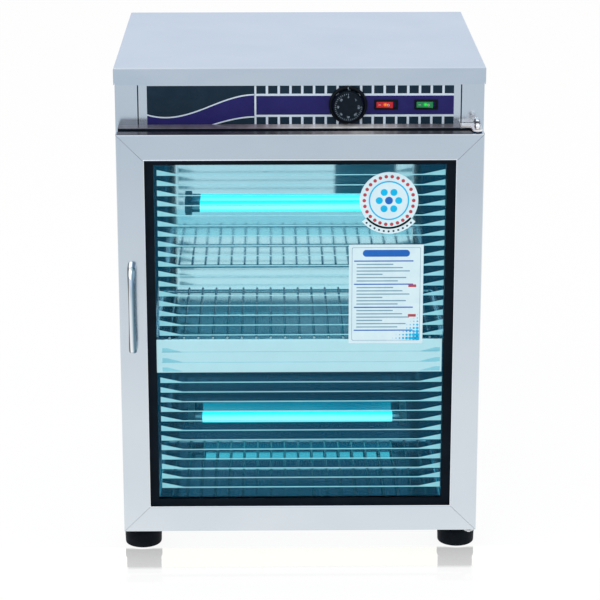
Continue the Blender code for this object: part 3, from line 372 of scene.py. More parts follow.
# painted highlight: near-white sleeves on the wires' front ends
wireTipPaintedHighlight = variedMaterial("wireTipPaintedHighlight", (0.92, 0.95, 0.96), (0.86, 0.90, 0.92), (0.20, 0.30), 0.4, 90)
zinc = variedMaterial("zincPlate", (0.55, 0.57, 0.58), (0.42, 0.44, 0.45), (0.30, 0.45), 1.0, 70)
rubber = variedMaterial("blackRubber", (0.003, 0.005, 0.008), (0.006, 0.009, 0.013), (0.42, 0.60), 0.0, 50,
                        1500, 0.10, specular=0.04)
gasketRubber = variedMaterial("gasketRubber", (0.003, 0.006, 0.011), (0.005, 0.009, 0.015), (0.35, 0.5),
                              0.0, 30, 1200, 0.06, specular=0.05)
blackPlastic = variedMaterial("blackPlastic", (0.003, 0.005, 0.008), (0.005, 0.008, 0.012), (0.28, 0.40),
                              0.0, 80, 2600, 0.08, specular=0.08)
dialPlastic = variedMaterial("dialPlastic", (0.004, 0.008, 0.014), (0.007, 0.012, 0.020), (0.28, 0.40), 0.0,
                             80, 2600, 0.08, specular=0.08)
whitePlastic = variedMaterial("whitePlastic", (0.74, 0.75, 0.74), (0.66, 0.67, 0.65), (0.35, 0.5), 0.0, 60,
                              2000, 0.05)
# the lamp holders' dark teal is painted shade, and their glow is the painted lamp light
holderPlastic = variedMaterial("holderPlastic", (0.10, 0.32, 0.38), (0.07, 0.26, 0.32), (0.35, 0.5), 0.0,
                               60, 2000, 0.05, specular=0.2, glow=paintedLampGlow)
bushPlastic = variedMaterial("bushPlastic", (0.012, 0.045, 0.11), (0.009, 0.035, 0.09), (0.3, 0.45), 0.0,
                             90, 2000, 0.05, specular=0.15)
# painted highlight: near-white and half diffuse, so the bracket reads as the bright highlight on its rounded
# edge
bracketPaintedHighlight = variedMaterial("bracketPaintedHighlight", (0.90, 0.87, 0.86), (0.80, 0.76, 0.75), (0.18, 0.28), 0.45,
                              (120, 60, 60), (60, 1400, 1400), 0.03)
nutSteel = variedMaterial("nutSteel", (0.16, 0.16, 0.17), (0.08, 0.08, 0.09), (0.10, 0.22), 1.0, 160)
coreSteel = variedMaterial("varnishedCore", (0.10, 0.10, 0.11), (0.05, 0.05, 0.06), (0.4, 0.6), 0.6, 90,
                           (2600, 30, 30), 0.3)
heaterSheath = variedMaterial("heatTintedSheath", (0.28, 0.25, 0.23), (0.18, 0.15, 0.17), (0.35, 0.5),
                              1.0, 30)
board = variedMaterial("mineralBoard", (0.70, 0.66, 0.55), (0.60, 0.54, 0.42), (0.8, 0.95), 0.0, 40,
                       (900, 900, 200), 0.6)


pane = {"tint": (0.77, 0.93, 0.95), "shade": (0.73, 0.91, 0.94), "roughest": 0.012, "bending": 1.16}


def glassMaterial():
    # tinted pane: the tint and the gloss vary faintly, as on rolled glass
    made, tree, shader = startMaterial("tintedGlass")
    broad = noiseNode(tree, 6, 2.0)
    tint = mixNode(tree, broad, "Fac", pane["tint"], pane["shade"])
    feed(tree, shader, "Base Color", tint, 2)
    gloss = rangeNode(tree, broad, "Fac", *noiseSpan, 0.0, pane["roughest"])
    feed(tree, shader, "Roughness", gloss, "Result")
    setInputs(shader, {"Transmission Weight": 1.0, "IOR": pane["bending"]})
    return made


def glowMaterial(name, edge, core, centre, reach, strength, roughness=0.25, base=None):
    # light from within: the emission falls from the core's colour to the edge's with distance from the centre
    made, tree, shader = startMaterial(name)
    place = addNode(tree, "TexCoord")
    shift = addNode(tree, "Mapping", [("Vector", place, "Object")], vector_type="TEXTURE")
    setInputs(shift, {"Location": centre, "Scale": reach})
    away = addNode(tree, "VectorMath", [(0, shift, "Vector")], operation="LENGTH")
    near = rangeNode(tree, away, "Value", 0.0, 1.0, 1.0, 0.0)
    near.interpolation_type = "SMOOTHSTEP"
    light = mixNode(tree, near, "Result", edge, core)
    feed(tree, shader, "Emission Color", light, 2)
    shader.inputs["Emission Strength"].default_value = strength
    fine = noiseNode(tree, 1200)
    gloss = rangeNode(tree, fine, "Fac", *noiseSpan, roughness * 0.8, roughness * 1.2)
    feed(tree, shader, "Roughness", gloss, "Result")
    shader.inputs["Base Color"].default_value = (*(base or edge), 1)
    return made


def inkMaterial(name, color, shade, roughness=(0.25, 0.4), specular=0.2, glow=None):
    return variedMaterial(name, color, shade, roughness, 0.0, 60, 1800, 0.04, specular=specular, glow=glow)


def toSurface(tree, mixed):
    output = next(n for n in tree.nodes if n.type == "OUTPUT_MATERIAL")
    feed(tree, output, "Surface", mixed, "Shader")


def filmMaterial(name, color, shade, light, through, tint=(0.92, 0.98, 1.0)):
    # a translucent print: part of the light passes straight through, and a painted glow, given as emission,
    # stands for light from behind
    made = inkMaterial(name, color, shade, glow=light)
    tree = made.node_tree
    shader = tree.nodes["Principled BSDF"]
    clear = addNode(tree, "BsdfTransparent")
    clear.inputs["Color"].default_value = (*tint, 1)
    mixed = addNode(tree, "MixShader", [(1, shader, "BSDF"), (2, clear, "BSDF")])
    mixed.inputs[0].default_value = through
    toSurface(tree, mixed)
    return made


# painted shade: paintedShade and the deep glow darken the side walls, the lower chamber and the roof; deep is
# a painted dark-teal glow
liner = {
    "bright": (0.84, 0.93, 0.95), "paintedShade": (0.02, 0.14, 0.21), "deep": (0.001, 0.040, 0.078), "deepShare": 0.93,
    "middle": 0.0048, "sideFrom": 0.1758, "sideTo": 0.1790, "floorFrom": 0.256, "floorTo": 0.240,
    "floorShare": 0.93, "roofFrom": 0.515, "roofTo": 0.533, "roofShare": 0.6, "uneven": 0.07,
}


def linerMaterial():
    # mirror steel, bright on the middle of the back wall, with painted shade: darker teal on the side walls,
    # in the lower chamber and under the roof, and a painted dark-teal glow on the side walls
    made = variedMaterial("linerSteelPaintedShade", liner["bright"], liner["bright"], (0.03, 0.08), 1.0, (4, 4, 8),
                          (500, 500, 12), 0.02, glow=paintedLampGlow)
    tree = made.node_tree
    shader = tree.nodes["Principled BSDF"]
    place = addNode(tree, "TexCoord")
    moved = addNode(tree, "VectorMath", [(0, place, "Object")], operation="ADD")
    moved.inputs[1].default_value = (liner["middle"], 0, 0)
    size = addNode(tree, "VectorMath", [(0, moved, "Vector")], operation="ABSOLUTE")
    split = addNode(tree, "SeparateXYZ", [("Vector", size, "Vector")])
    # painted shade masks: the side walls, the lower chamber and the roof
    side = rangeNode(tree, split, "X", liner["sideFrom"], liner["sideTo"], 0.0, 1.0)
    floor = rangeNode(tree, split, "Z", liner["floorFrom"], liner["floorTo"], 0.0, liner["floorShare"])
    roof = rangeNode(tree, split, "Z", liner["roofFrom"], liner["roofTo"], 0.0, liner["roofShare"])
    ends = addNode(tree, "Math", [(0, floor, "Result"), (1, roof, "Result")], operation="MAXIMUM")
    shade = addNode(tree, "Math", [(0, side, "Result"), (1, ends, "Value")], operation="MAXIMUM")
    cloud = noiseNode(tree, (5, 5, 9), 3.0)
    uneven = rangeNode(tree, cloud, "Fac", *noiseSpan, -liner["uneven"], liner["uneven"])
    total = addNode(tree, "Math", [(0, shade, "Value"), (1, uneven, "Result")], operation="ADD")
    tint = mixNode(tree, total, "Value", liner["bright"], liner["paintedShade"])
    feed(tree, shader, "Base Color", tint, 2)
    # painted shade: a dark-teal glow mixed in on the side walls
    deep = addNode(tree, "Emission")
    deep.inputs["Color"].default_value = (*liner["deep"], 1)
    amount = rangeNode(tree, side, "Result", 0.0, 1.0, 0.0, liner["deepShare"])
    mixed = addNode(tree, "MixShader",
                    [(0, amount, "Result"), (1, shader, "BSDF"), (2, deep, "Emission")])
    toSurface(tree, mixed)
    return made


linerSteelPaintedShade = linerMaterial()
glass = glassMaterial()
print("materials made")


def paint(material, *names):
    for name in names:
        slots = nodes[name].data.materials
        slots.clear()
        slots.append(material)


paint(uprightSteel, "outer_casing", "back_panel", "door_stile_left", "door_stile_right")
paint(levelSteel, "control_panel", "door_rail_top", "door_rail_bottom", "rack_rail_upper_left",
      "rack_rail_upper_right", "rack_rail_lower_left", "rack_rail_lower_right")
paint(lipSteel, "top_cover")
paint(mirrorSteel, "front_frame")
paint(linerSteelPaintedShade, "inner_liner")
paint(bracketPaintedHighlight, "hinge_bracket_top")
paint(chrome, "hinge_pin_bottom")
paint(bushPlastic, "hinge_bush_top", "hinge_bush_bottom")
paint(zinc, "hinge_bracket_bottom", "catch_striker", "thermostat_body", "heater_bracket_front",
      "heater_bracket_back")
paint(rubber, "door_seal")
paint(gasketRubber, "glazing_gasket")
paint(blackPlastic, "door_back_retainer", "catch_magnet", "door_switch_body", "power_switch_housing",
      "lamp_switch_housing")
paint(whitePlastic, "door_switch_plunger", "lamp_starter", "starter_socket")
paint(holderPlastic, "lamp_holder_upper_left", "lamp_holder_upper_right", "lamp_holder_lower_left",
      "lamp_holder_lower_right")
paint(coreSteel, "lamp_ballast")
paint(heaterSheath, "heater_element")
paint(board, "insulation_left", "insulation_right", "insulation_back")
paint(glass, "door_glass")
print("nodes painted")


# Handle: a bow over the left stile, broad at its feet and narrow in the middle
handle = {
    "width": 10.6 * mm, "waist": 7.8 * mm, "thickness": 6.8 * mm,
    "arch": 0.42, "bendShare": 0.35, "steps": 96, "sides": 32,
    # painted reflection: tones across the bow, dark near both edges and bright between them
    "reflectionTones": ((0.0, (0.70, 0.76, 0.80)), (0.06, (0.22, 0.20, 0.19)), (0.18, (0.07, 0.06, 0.06)),
              (0.28, (0.90, 0.93, 0.95)), (0.52, (0.72, 0.78, 0.83)), (0.62, (0.26, 0.40, 0.48)),
              (0.78, (0.08, 0.16, 0.22)), (0.90, (0.26, 0.33, 0.40)), (1.0, (0.80, 0.86, 0.90))),
}


def handleShell():
    # along t from 0 to pi: height (sin t)^arch over the stile, place -cos t along it,
    # width waist + (width - waist) cos^2 t, and each section an ellipse square to the path
    low, high, (x, _, z) = boxMiddle("door_handle")
    half = handle["thickness"] / 2
    t = np.linspace(0, np.pi, handle["steps"])
    t = np.pi * (0.5 - 0.5 * np.cos(t))
    lift = np.sin(t).clip(0) ** handle["arch"]
    lift[[0, -1]] = 0
    run = (high.z - low.z - handle["width"]) / 2
    rise = high.y - low.y - half
    path = np.stack([np.full_like(t, x), high.y - rise * lift, z - run * np.cos(t)], -1)
    tangent = np.gradient(path, axis=0)
    tangent[0], tangent[-1] = (0, -1, 0), (0, 1, 0)
    tangent /= np.linalg.norm(tangent, axis=1, keepdims=True)
    side = np.cross([1.0, 0.0, 0.0], tangent)
    width = handle["waist"] + (handle["width"] - handle["waist"]) * np.cos(t) ** 2
    bend = handle["bendShare"]
    within = np.where(lift < bend, width / 2 + (half - width / 2) * lift / bend, half)
    a = np.linspace(0, 2 * np.pi, handle["sides"], endpoint=False)
    across = np.array([1.0, 0.0, 0.0])[None, None] * (width / 2)[:, None, None] * np.cos(a)[None, :, None]
    over = side[:, None] * within[:, None, None] * np.sin(a)[None, :, None]
    return skin(path[:, None] + across + over)


def handlePaintedReflection():
    # plated steel with a painted reflection across the bow: painted dark tones near both edges and bright
    # ones between them, as a bent mirror shows
    made = variedMaterial("handlePaintedReflection", (0.8, 0.83, 0.86), (0.74, 0.78, 0.82), (0.04, 0.09), 1.0, 40, 900,
                          0.01)
    tree = made.node_tree
    shader = tree.nodes["Principled BSDF"]
    low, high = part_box("door_handle")
    across = alongNode(tree, "X", low.x, high.x)
    ramp = rampNode(tree, across, "Result", handle["reflectionTones"])
    feed(tree, shader, "Base Color", ramp, "Color")
    return made


makePiece("bowHandle", "door", [handleShell()], [handlePaintedReflection()], ["door_handle"])
print("handle made")


# Feet: turned rubber with a skirt, a neck and a recess below
foot = {"edge": 2.2 * mm, "skirt": 19.0 * mm, "neck": 22.5 * mm,
        "recess": 8.0 * mm, "recessDepth": 12.0 * mm, "taper": 0.6 * mm}


def footShell(node):
    low, high, (x, y, _) = boxMiddle(node)
    outer, top = (high.x - low.x) / 2, high.z - low.z
    corners = [(foot["recess"], foot["recessDepth"]), (foot["recess"], 0), (outer - foot["taper"], 0),
               (outer, foot["skirt"]), (foot["neck"], foot["skirt"] + foot["edge"]), (foot["neck"], top)]
    return turned((x, y, low.z), "Z", rounded(corners, foot["edge"]), 72)


for end in ("front", "back"):
    for side in ("left", "right"):
        node = "foot_" + end + "_" + side
        makePiece("rubberFoot" + end.title() + side.title(), "cabinet", [footShell(node)],
                  [rubber], [node])
print("feet made")


# Thermostat: a ring on the panel, and a dial with plain figures
dial = {
    "edge": 0.6 * mm, "dish": 0.35 * mm, "rim": 0.35 * mm, "ink": 0.10 * mm,
    "tickOuter": 16.9 * mm, "tickShort": 15.2 * mm, "tickLong": 14.6 * mm,
    "tickWidth": 0.36 * mm, "figure": 3.3 * mm, "figureRadius": 12.4 * mm,
    "figures": ("0", "20", "40", "60", "80", "100", "120"), "figureStep": 45, "unit": "°C",
    "unitShare": 0.8, "firstTick": 90, "tickStep": 9, "taper": 0.9 * mm,
    "bore": 3.3 * mm, "boreDepth": 8.8 * mm, "centreHole": 0.3 * mm,
}
dialInk = inkMaterial("dialInk", (0.36, 0.46, 0.56), (0.30, 0.40, 0.50))


def dialPieces():
    low, high, (x, _, z) = boxMiddle("thermostat_knob")
    centre = (x, high.y, z)
    outer, depth = (high.x - low.x) / 2, high.y - low.y
    face, back = outer - dial["taper"], -depth
    rim, floor = face - dial["rim"], back + dial["dish"]
    corners = [(dial["bore"], -dial["boreDepth"]), (dial["bore"], 0), (outer, 0), (face, back), (rim, back),
               (rim - dial["dish"], floor), (dial["centreHole"], floor)]
    body = turned(centre, "Y", rounded(corners, dial["edge"]), 96)
    front = low.y + dial["dish"]
    ink = dial["ink"]
    step, size = dial["figureStep"], dial["figure"]
    marks = []
    for angle in np.arange(dial["firstTick"], 360 + 1, dial["tickStep"]):
        inner = dial["tickLong"] if angle % step == 0 else dial["tickShort"]
        marks.append(tickShell(centre, angle, inner, front - ink, front + ink))
    for k, words in enumerate(dial["figures"]):
        marks.append(figureShell(words, size, centre, math.radians(-step * k), dial["figureRadius"], front))
    marks.append(figureShell(dial["unit"], size * dial["unitShare"], centre, math.radians(step),
                             dial["figureRadius"], front))
    makePiece("thermostatDial", "thermostat_knob", [body] + [(*mark, 1) for mark in marks],
              [dialPlastic, dialInk], ["thermostat_knob"])


def tickShell(centre, degrees, inner, front, back):
    # a short bar along the ray at this many degrees clockwise from the top
    a = math.radians(degrees)
    along = np.array([math.sin(a), math.cos(a)])
    aside = np.array([along[1], -along[0]]) * dial["tickWidth"] / 2
    middle = np.array([centre[0], centre[2]])
    ends = [middle + along * r for r in (inner, dial["tickOuter"])]
    outline = [ends[0] - aside, ends[1] - aside, ends[1] + aside, ends[0] + aside]
    return plate(outline, front, back)


def figureShell(words, size, centre, angle, radius, front):
    # the figure stands on the dial, its top outward, at this angle clockwise from the top
    upright = Matrix.Rotation(math.pi / 2, 4, "X")
    spin = Matrix.Rotation(angle, 4, "Y")
    out = Matrix.Translation((0, 0, radius))
    place = Matrix.Translation((centre[0], front, centre[2])) @ spin @ out @ upright
    return textShell(words, size, place, 2 * dial["ink"])


dialPieces()
bezel = {"edge": 0.9 * mm, "mark": 1.1 * mm, "markLength": 2.2 * mm,
         "markDrop": 0.7 * mm, "markTipShare": 0.5, "bore": 19.5 * mm,
         "taper": 1.1 * mm, "lip": 0.8 * mm, "lipDepth": 1.0 * mm,
         "wallShare": 0.55, "seat": 0.1 * mm}


def bezelPiece():
    low, high, (x, _, z) = boxMiddle("knob_bezel")
    centre = (x, high.y, z)
    outer, depth = (high.x - low.x) / 2, high.y - low.y
    bore = bezel["bore"]
    corners = [(bore, 0), (outer, 0), (outer, -depth * bezel["wallShare"]), (outer - bezel["taper"], -depth),
               (bore + bezel["lip"], -depth), (bore, -depth + bezel["lipDepth"]), (bore, -bezel["seat"])]
    ring = turned(centre, "Y", rounded(corners, bezel["edge"]), 96, ring=True)
    tip = z + bore + bezel["markDrop"]
    end, half = tip + bezel["markLength"], bezel["mark"] / 2
    narrow = half * bezel["markTipShare"]
    outline = [(x - narrow, tip), (x + narrow, tip), (x + half, end), (x - half, end)]
    mark = plate(outline, low.y - dial["ink"], low.y + dial["ink"])
    makePiece("dialRing", "cabinet", [ring, (*mark, 1)], [blackPlastic, dialInk],
              ["knob_bezel"])


bezelPiece()
print("thermostat made")


# Rocker switches: a dished rocker each, pressed on its left, lit from within
rocker = {
    "length": 20.0 * mm, "depth": 6.2 * mm, "rise": 2.4 * mm, "dip": 1.3 * mm,
    "height": 7.2 * mm, "tilt": -8.0, "pivot": -0.1559, "edge": 0.45 * mm,
    "mark": 0.10 * mm, "bar": (3.0 * mm, 0.55 * mm), "barCorner": 0.2 * mm,
    "barShift": -6.2 * mm, "ring": (1.45 * mm, 0.95 * mm),
    "ringShift": 4.6 * mm, "glowReach": (3.4 * mm, 6.0 * mm, 3.0 * mm),
    "glowRise": 0.4 * mm,
}


def rockerOutline():
    # across u from -1 to 1 the front lies at depth + rise - dip x (1 - u^2), and the back is an arc
    half, deep = rocker["length"] / 2, rocker["depth"]
    u = np.linspace(-1, 1, 25)
    front = np.stack([u * half, -deep - rocker["rise"] + rocker["dip"] * (1 - u ** 2)], -1)
    v = np.linspace(1, -1, 17)
    back = np.stack([v * half, -deep / 2 + deep * (1 - v ** 2)], -1)
    return np.vstack([front, back])


def rockerPlace(pairs, x):
    # turned about the pivot by the tilt
    a = math.radians(rocker["tilt"])
    turn = np.array([[math.cos(a), math.sin(a)], [-math.sin(a), math.cos(a)]])
    return pairs @ turn + np.array([x, rocker["pivot"]])


def rockerPieces(name, node, edge, core, glowAt, base):
    x, _, z = boxMiddle(node)[2]
    x = round(x, 4)
    outline = rockerOutline()
    inward = inwardNormals(outline)
    half, soft = rocker["height"] / 2, rocker["edge"]
    a = np.linspace(0, np.pi / 2, 4)
    rims = [(-half + soft * (1 - math.sin(t)), soft * (1 - math.cos(t))) for t in a[::-1]]
    levels = rims + [(-level, by) for level, by in rims[::-1]]
    rows = [levelLoop(rockerPlace(outline + inward * by, x), z + level) for level, by in levels]
    body = skin(np.stack(rows))
    ink = inkMaterial(name + "Ink", (0.60, 0.62, 0.64), (0.52, 0.54, 0.56))
    bright = (x + glowAt, rocker["pivot"] - rocker["depth"], z + rocker["glowRise"])
    lit = glowMaterial(name + "Lens", edge, core, bright, rocker["glowReach"], 1.0, base=base)
    barOutline = roundedBox((0, 0), rocker["bar"], rocker["barCorner"])
    bar = skin(np.stack(onFace(barOutline, x, z, rocker["barShift"])))
    ring = rockerRing(x, z, rocker["ringShift"])
    makePiece(name, node, [body, (*bar, 1), (*ring, 1)], [lit, ink], [node])


def onRocker(u, lift):
    # the depth of the dished face at u, less the lift
    half = rocker["length"] / 2
    return -rocker["depth"] - rocker["rise"] + rocker["dip"] * (1 - (u / half) ** 2) - lift


def onFace(outline, x, z, shift):
    u = outline[:, 0] + shift
    rows = []
    for lift in (rocker["mark"], -rocker["mark"]):
        pairs = rockerPlace(np.stack([u, onRocker(u, lift)], -1), x)
        rows.append(np.stack([pairs[:, 0], pairs[:, 1], z + outline[:, 1]], -1))
    return rows


def rockerRing(x, z, shift):
    outer, inner = (circleOutline((0, 0), radius, 32) for radius in rocker["ring"])
    (front, back), (innerFront, innerBack) = onFace(outer, x, z, shift), onFace(inner, x, z, shift)
    return skin(np.stack([front, innerFront, innerBack, back]), wrapRows=True)


rockerPieces("powerRocker", "power_rocker", (0.28, 0.0, 0.003), (1.0, 0.32, 0.0),
             -0.2 * mm, (0.20, 0.0, 0.003))
rockerPieces("lampRocker", "lamp_rocker", (0.0, 0.085, 0.025), (0.0, 1.0, 0.0),
             0.0, (0.0, 0.12, 0.035))
print("switches made")


# Racks: rods and wires, welded where they cross
rackShape = {"rod": 2.5 * mm, "wire": 1.5 * mm, "pitch": 18.4 * mm, "wires": 19,
             "corner": 10.0 * mm, "overhang": 3.5 * mm, "sink": 0.7 * mm,
             "tip": 2.4 * mm}


def rackPiece(name, node):
    low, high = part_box(node)
    rod, wire = rackShape["rod"], rackShape["wire"]
    z = low.z + rod
    halfX = high.x - rod
    front, back = low.y + rackShape["overhang"], high.y - rackShape["overhang"]
    shells = [tube(rackLoop(halfX, front, back, z), rod, 20, ring=True)]
    middle = (front + back) / 2
    shells.append(tube([(-halfX, middle, z), (halfX, middle, z)], rod, 20))
    wireZ = z + rod + wire - rackShape["sink"]
    profile = capsule(high.y - low.y, wire)
    # each wire's front end gets a slightly larger sleeve, whose bright colour is a painted highlight
    tip = capsule(rackShape["tip"], wire * 1.02)
    count = rackShape["wires"]
    for x in (np.arange(count) - (count - 1) / 2) * rackShape["pitch"]:
        shells.append((*turned((x, low.y, wireZ), "Y", profile, 12), 1))
        shells.append((*turned((x, low.y - 0.02 * mm, wireZ), "Y", tip, 12), 2))
    makePiece(name, node, shells, [rodSteel, wireSteelPaintedShade, wireTipPaintedHighlight], [node])


def rackLoop(halfX, front, back, z):
    # the rounded box of the rod's middle line, seen from above
    outline = roundedBox((0, (front + back) / 2), (2 * halfX, back - front), rackShape["corner"], 9)
    return levelLoop(outline, z)


rackPiece("upperWireRack", "upper_rack")
rackPiece("lowerWireRack", "lower_rack")
print("racks made")


# Lamps: a lit tube between metal caps
lamp = {"radius": 7.8 * mm, "cap": 11.0 * mm, "capRadius": 8.1 * mm, "strength": 1.5,
        "color": (0.0, 0.70, 0.76), "core": (0.30, 1.0, 1.0), "glowY": 0.1023,
        "glowReach": (0.6, 0.03, 0.0075), "rimEdge": 0.8 * mm, "crimp": 1.0 * mm}
# the caps' teal tint and glow are painted lamp light
lampCap = variedMaterial("lampCap", (0.22, 0.46, 0.52), (0.16, 0.38, 0.44), (0.25, 0.4), 1.0, 90,
                         glow=paintedLampGlow)


def lampMaterial(name, z):
    # brightest along the middle of the tube
    return glowMaterial(name, lamp["color"], lamp["core"], (0, lamp["glowY"], z), lamp["glowReach"],
                        lamp["strength"], 0.1, (0.2, 0.5, 0.55))


def lampPiece(name, node):
    low, high, (_, y, z) = boxMiddle(node)
    centre = (low.x, y, z)
    length, cap = high.x - low.x, lamp["cap"]
    r, outer = lamp["radius"], lamp["capRadius"]
    glassRun = turned(centre, "X", [(r, cap), (r, length * 0.5), (r, length - cap)], 32)
    edge, crimp = lamp["rimEdge"], lamp["crimp"]
    rim = [(outer - edge, 0), (outer, edge), (outer, cap - crimp / 2), (r + crimp / 10, cap),
           (r - crimp, cap + crimp / 5)]
    caps = [turned(centre, "X", rim, 32), turned(centre, "X", [(a, length - b) for a, b in rim], 32)]
    makePiece(name, "cabinet", [glassRun] + [(*c, 1) for c in caps],
              [lampMaterial(name + "Glow", z), lampCap], [node])


lampPiece("upperLamp", "lamp_tube_upper")
lampPiece("lowerLamp", "lamp_tube_lower")
print("lamps made")


# Sensing bulb under the chamber's roof
def bulbPiece():
    low, high, (x, _, z) = boxMiddle("thermostat_bulb")
    r = (high.x - low.x) / 2
    shell = turned((x, low.y, z), "Y", capsule(high.y - low.y, r), 24)
    makePiece("sensingBulb", "cabinet", [shell], [rodSteel], ["thermostat_bulb"])


bulbPiece()


# Screws: a domed head with a cross recess, on the back panel and along the cover's sides
screw = {
    "radius": 3.6 * mm, "height": 1.8 * mm, "cross": 0.55 * mm,
    "crossReach": 0.62, "crossDepth": 1.0 * mm, "sink": 0.1 * mm,
    "innerShares": (0.04, 0.6), "rimShares": (0.62, 0.75, 0.88, 0.96, 1.0, 1.0), "domeShare": 0.96,
    "backX": (-0.217, 0.217), "backZ": (0.048, 0.225, 0.405, 0.595), "middleZ": (0.048, 0.595),
    "coverY": (-0.08, 0.14), "coverZ": 0.6185,
}


def screwShell(centre, axis, facing):
    # over the disc, at the share s of its radius: the height x the root of (1 - domeShare x s^2),
    # less a cross-shaped recess
    s = np.concatenate([np.linspace(*screw["innerShares"], 9), screw["rimShares"]])[:, None]
    t = np.linspace(0, 2 * np.pi, 48, endpoint=False)[None, :]
    x, y = s * np.cos(t), s * np.sin(t)
    inside = np.minimum(abs(x), abs(y)) < screw["cross"] / screw["radius"]
    dome = screw["height"] * np.sqrt(1 - screw["domeShare"] * s ** 2) * np.ones_like(t)
    height = dome - screw["crossDepth"] * inside * (s < screw["crossReach"])
    height[-1] = -screw["sink"]
    across = np.stack([x, y], -1) * screw["radius"]
    return skin(placed(across, facing * height, centre, axis))


def screwPieces():
    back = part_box("back_panel")[1].y
    coverLow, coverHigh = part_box("top_cover")
    places = [(x, back, z) for x in screw["backX"] for z in screw["backZ"]]
    places += [(0.0, back, z) for z in screw["middleZ"]]
    makePiece("backScrews", "cabinet", [screwShell(place, "Y", 1) for place in places], [zinc])
    sides = [screwShell((x, y, screw["coverZ"]), "X", facing)
             for x, facing in ((coverLow.x, -1), (coverHigh.x, 1)) for y in screw["coverY"]]
    makePiece("coverScrews", "cabinet", sides, [zinc])


screwPieces()
print("screws made")


# Top hinge: the pin's round head, and a domed nut on a washer
hinge = {
    "ball": 3.95 * mm, "neck": 2.4 * mm, "neckTurn": 0.62, "nutRadius": 3.3 * mm,
    "nutHeight": 2.3 * mm, "nutEdge": 0.3 * mm, "dome": 2.2 * mm,
    "nutPlace": (0.2190, -0.1652), "washer": 4.2 * mm, "washerHeight": 0.5 * mm,
    "washerEdge": 0.2 * mm, "axis": 0.2 * mm,
    # painted reflection: tones across the ball, dark on the left, bright in the middle, grey on the right
    "reflectionTones": ((0.0, (0.10, 0.07, 0.06)), (0.16, (0.16, 0.12, 0.11)), (0.34, (0.80, 0.80, 0.79)),
              (0.60, (1.0, 1.0, 1.0)), (0.80, (0.55, 0.58, 0.60)), (1.0, (0.26, 0.32, 0.38))),
}


def ballReflectionMaterial(low, high):
    # plated steel with a painted reflection: a dark edge on one side and a bright middle, as a ball mirrors
    # them
    made = variedMaterial("ballPaintedReflection", (0.8, 0.8, 0.8), (0.8, 0.8, 0.8), (0.05, 0.10), 1.0, 90, 900, 0.01)
    tree = made.node_tree
    ramp = rampNode(tree, alongNode(tree, "X", low, high), "Result", hinge["reflectionTones"])
    feed(tree, tree.nodes["Principled BSDF"], "Base Color", ramp, "Color")
    return made


def hingePieces():
    # the pin's round head: radius x sin a at height radius x (1 - cos a) over a short neck
    low, _, (x, y, _) = boxMiddle("hinge_pin_top")
    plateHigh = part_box("hinge_bracket_top")[1]
    r, neckTurn, axis = hinge["ball"], hinge["neckTurn"], hinge["axis"]
    a = np.linspace(neckTurn, np.pi - 0.02, 14)
    ball = np.stack([r * np.sin(a), plateHigh.z + r * math.cos(neckTurn) - r * np.cos(a)], -1)
    start = np.array([[axis / 2, low.z], [hinge["neck"], low.z], [hinge["neck"], plateHigh.z]])
    pin = turned((x, y, 0), "Z", np.vstack([start, ball]), 40)
    makePiece("hingeBall", "cabinet", [pin], [ballReflectionMaterial(x - r, x + r)], ["hinge_pin_top"])
    place = (*hinge["nutPlace"], 0)
    z, base = plateHigh.z, plateHigh.z + hinge["washerHeight"]
    top = base + hinge["nutHeight"]
    crown = top + hinge["nutEdge"]
    reach = hinge["washer"]
    washer = rounded([(axis, z), (reach, z), (reach, base), (axis, base)], hinge["washerEdge"])
    nut = [(axis, base), (hinge["nutRadius"], base), (hinge["nutRadius"], top), (hinge["dome"], crown)]
    b = np.linspace(0, np.pi / 2 - 0.05, 8)
    dome = np.stack([hinge["dome"] * np.cos(b), crown + hinge["dome"] * np.sin(b)], -1)
    shells = [turned(place, "Z", washer, 32), turned(place, "Z", nut, 6),
              (*turned(place, "Z", np.vstack([[(axis, top)], dome]), 32), 1)]
    makePiece("hingeNut", "cabinet", shells, [nutSteel, chrome])


hingePieces()


# Polished edges along the frame's top and the door's top, coloured with painted reflections, and the black
# strip before the frame
ledge = {
    "rise": 0.7 * mm, "edge": 1.6 * mm, "inset": 0.4 * mm, "gap": 0.05 * mm,
    # painted reflection of the frame's top edge: painted shade at both ends, a painted lamp highlight near
    # the middle
    "reflectionTones": ((0.0, (0.15, 0.16, 0.19)), (0.30, (0.19, 0.165, 0.22)), (0.42, (0.40, 0.35, 0.39)),
              (0.48, (0.80, 0.76, 0.80)), (0.60, (1.0, 1.0, 1.0)), (0.68, (1.0, 0.98, 1.0)),
              (0.75, (0.60, 0.57, 0.60)), (0.82, (0.24, 0.22, 0.26)), (1.0, (0.20, 0.20, 0.23))),
    "sealThick": 0.9 * mm, "sealTop": 0.2 * mm, "sealDrop": 4.6 * mm,
    # painted reflection of the door's top edge: dark, with a painted highlight near the middle
    "doorReflectionTones": ((0.0, (0.085, 0.085, 0.11)), (0.09, (0.022, 0.024, 0.036)), (0.42, (0.040, 0.040, 0.055)),
                  (0.52, (0.15, 0.14, 0.16)), (0.62, (0.40, 0.38, 0.40)), (0.67, (0.56, 0.55, 0.56)),
                  (0.72, (0.22, 0.21, 0.22)), (0.80, (0.05, 0.05, 0.06)), (1.0, (0.03, 0.03, 0.04))),
    "sealCorner": 0.4 * mm, "sealEdge": 0.3 * mm, "doorCorner": 0.6 * mm,
    "doorInset": 0.9 * mm, "doorSheet": 0.2 * mm, "doorEnd": 1.0 * mm,
}


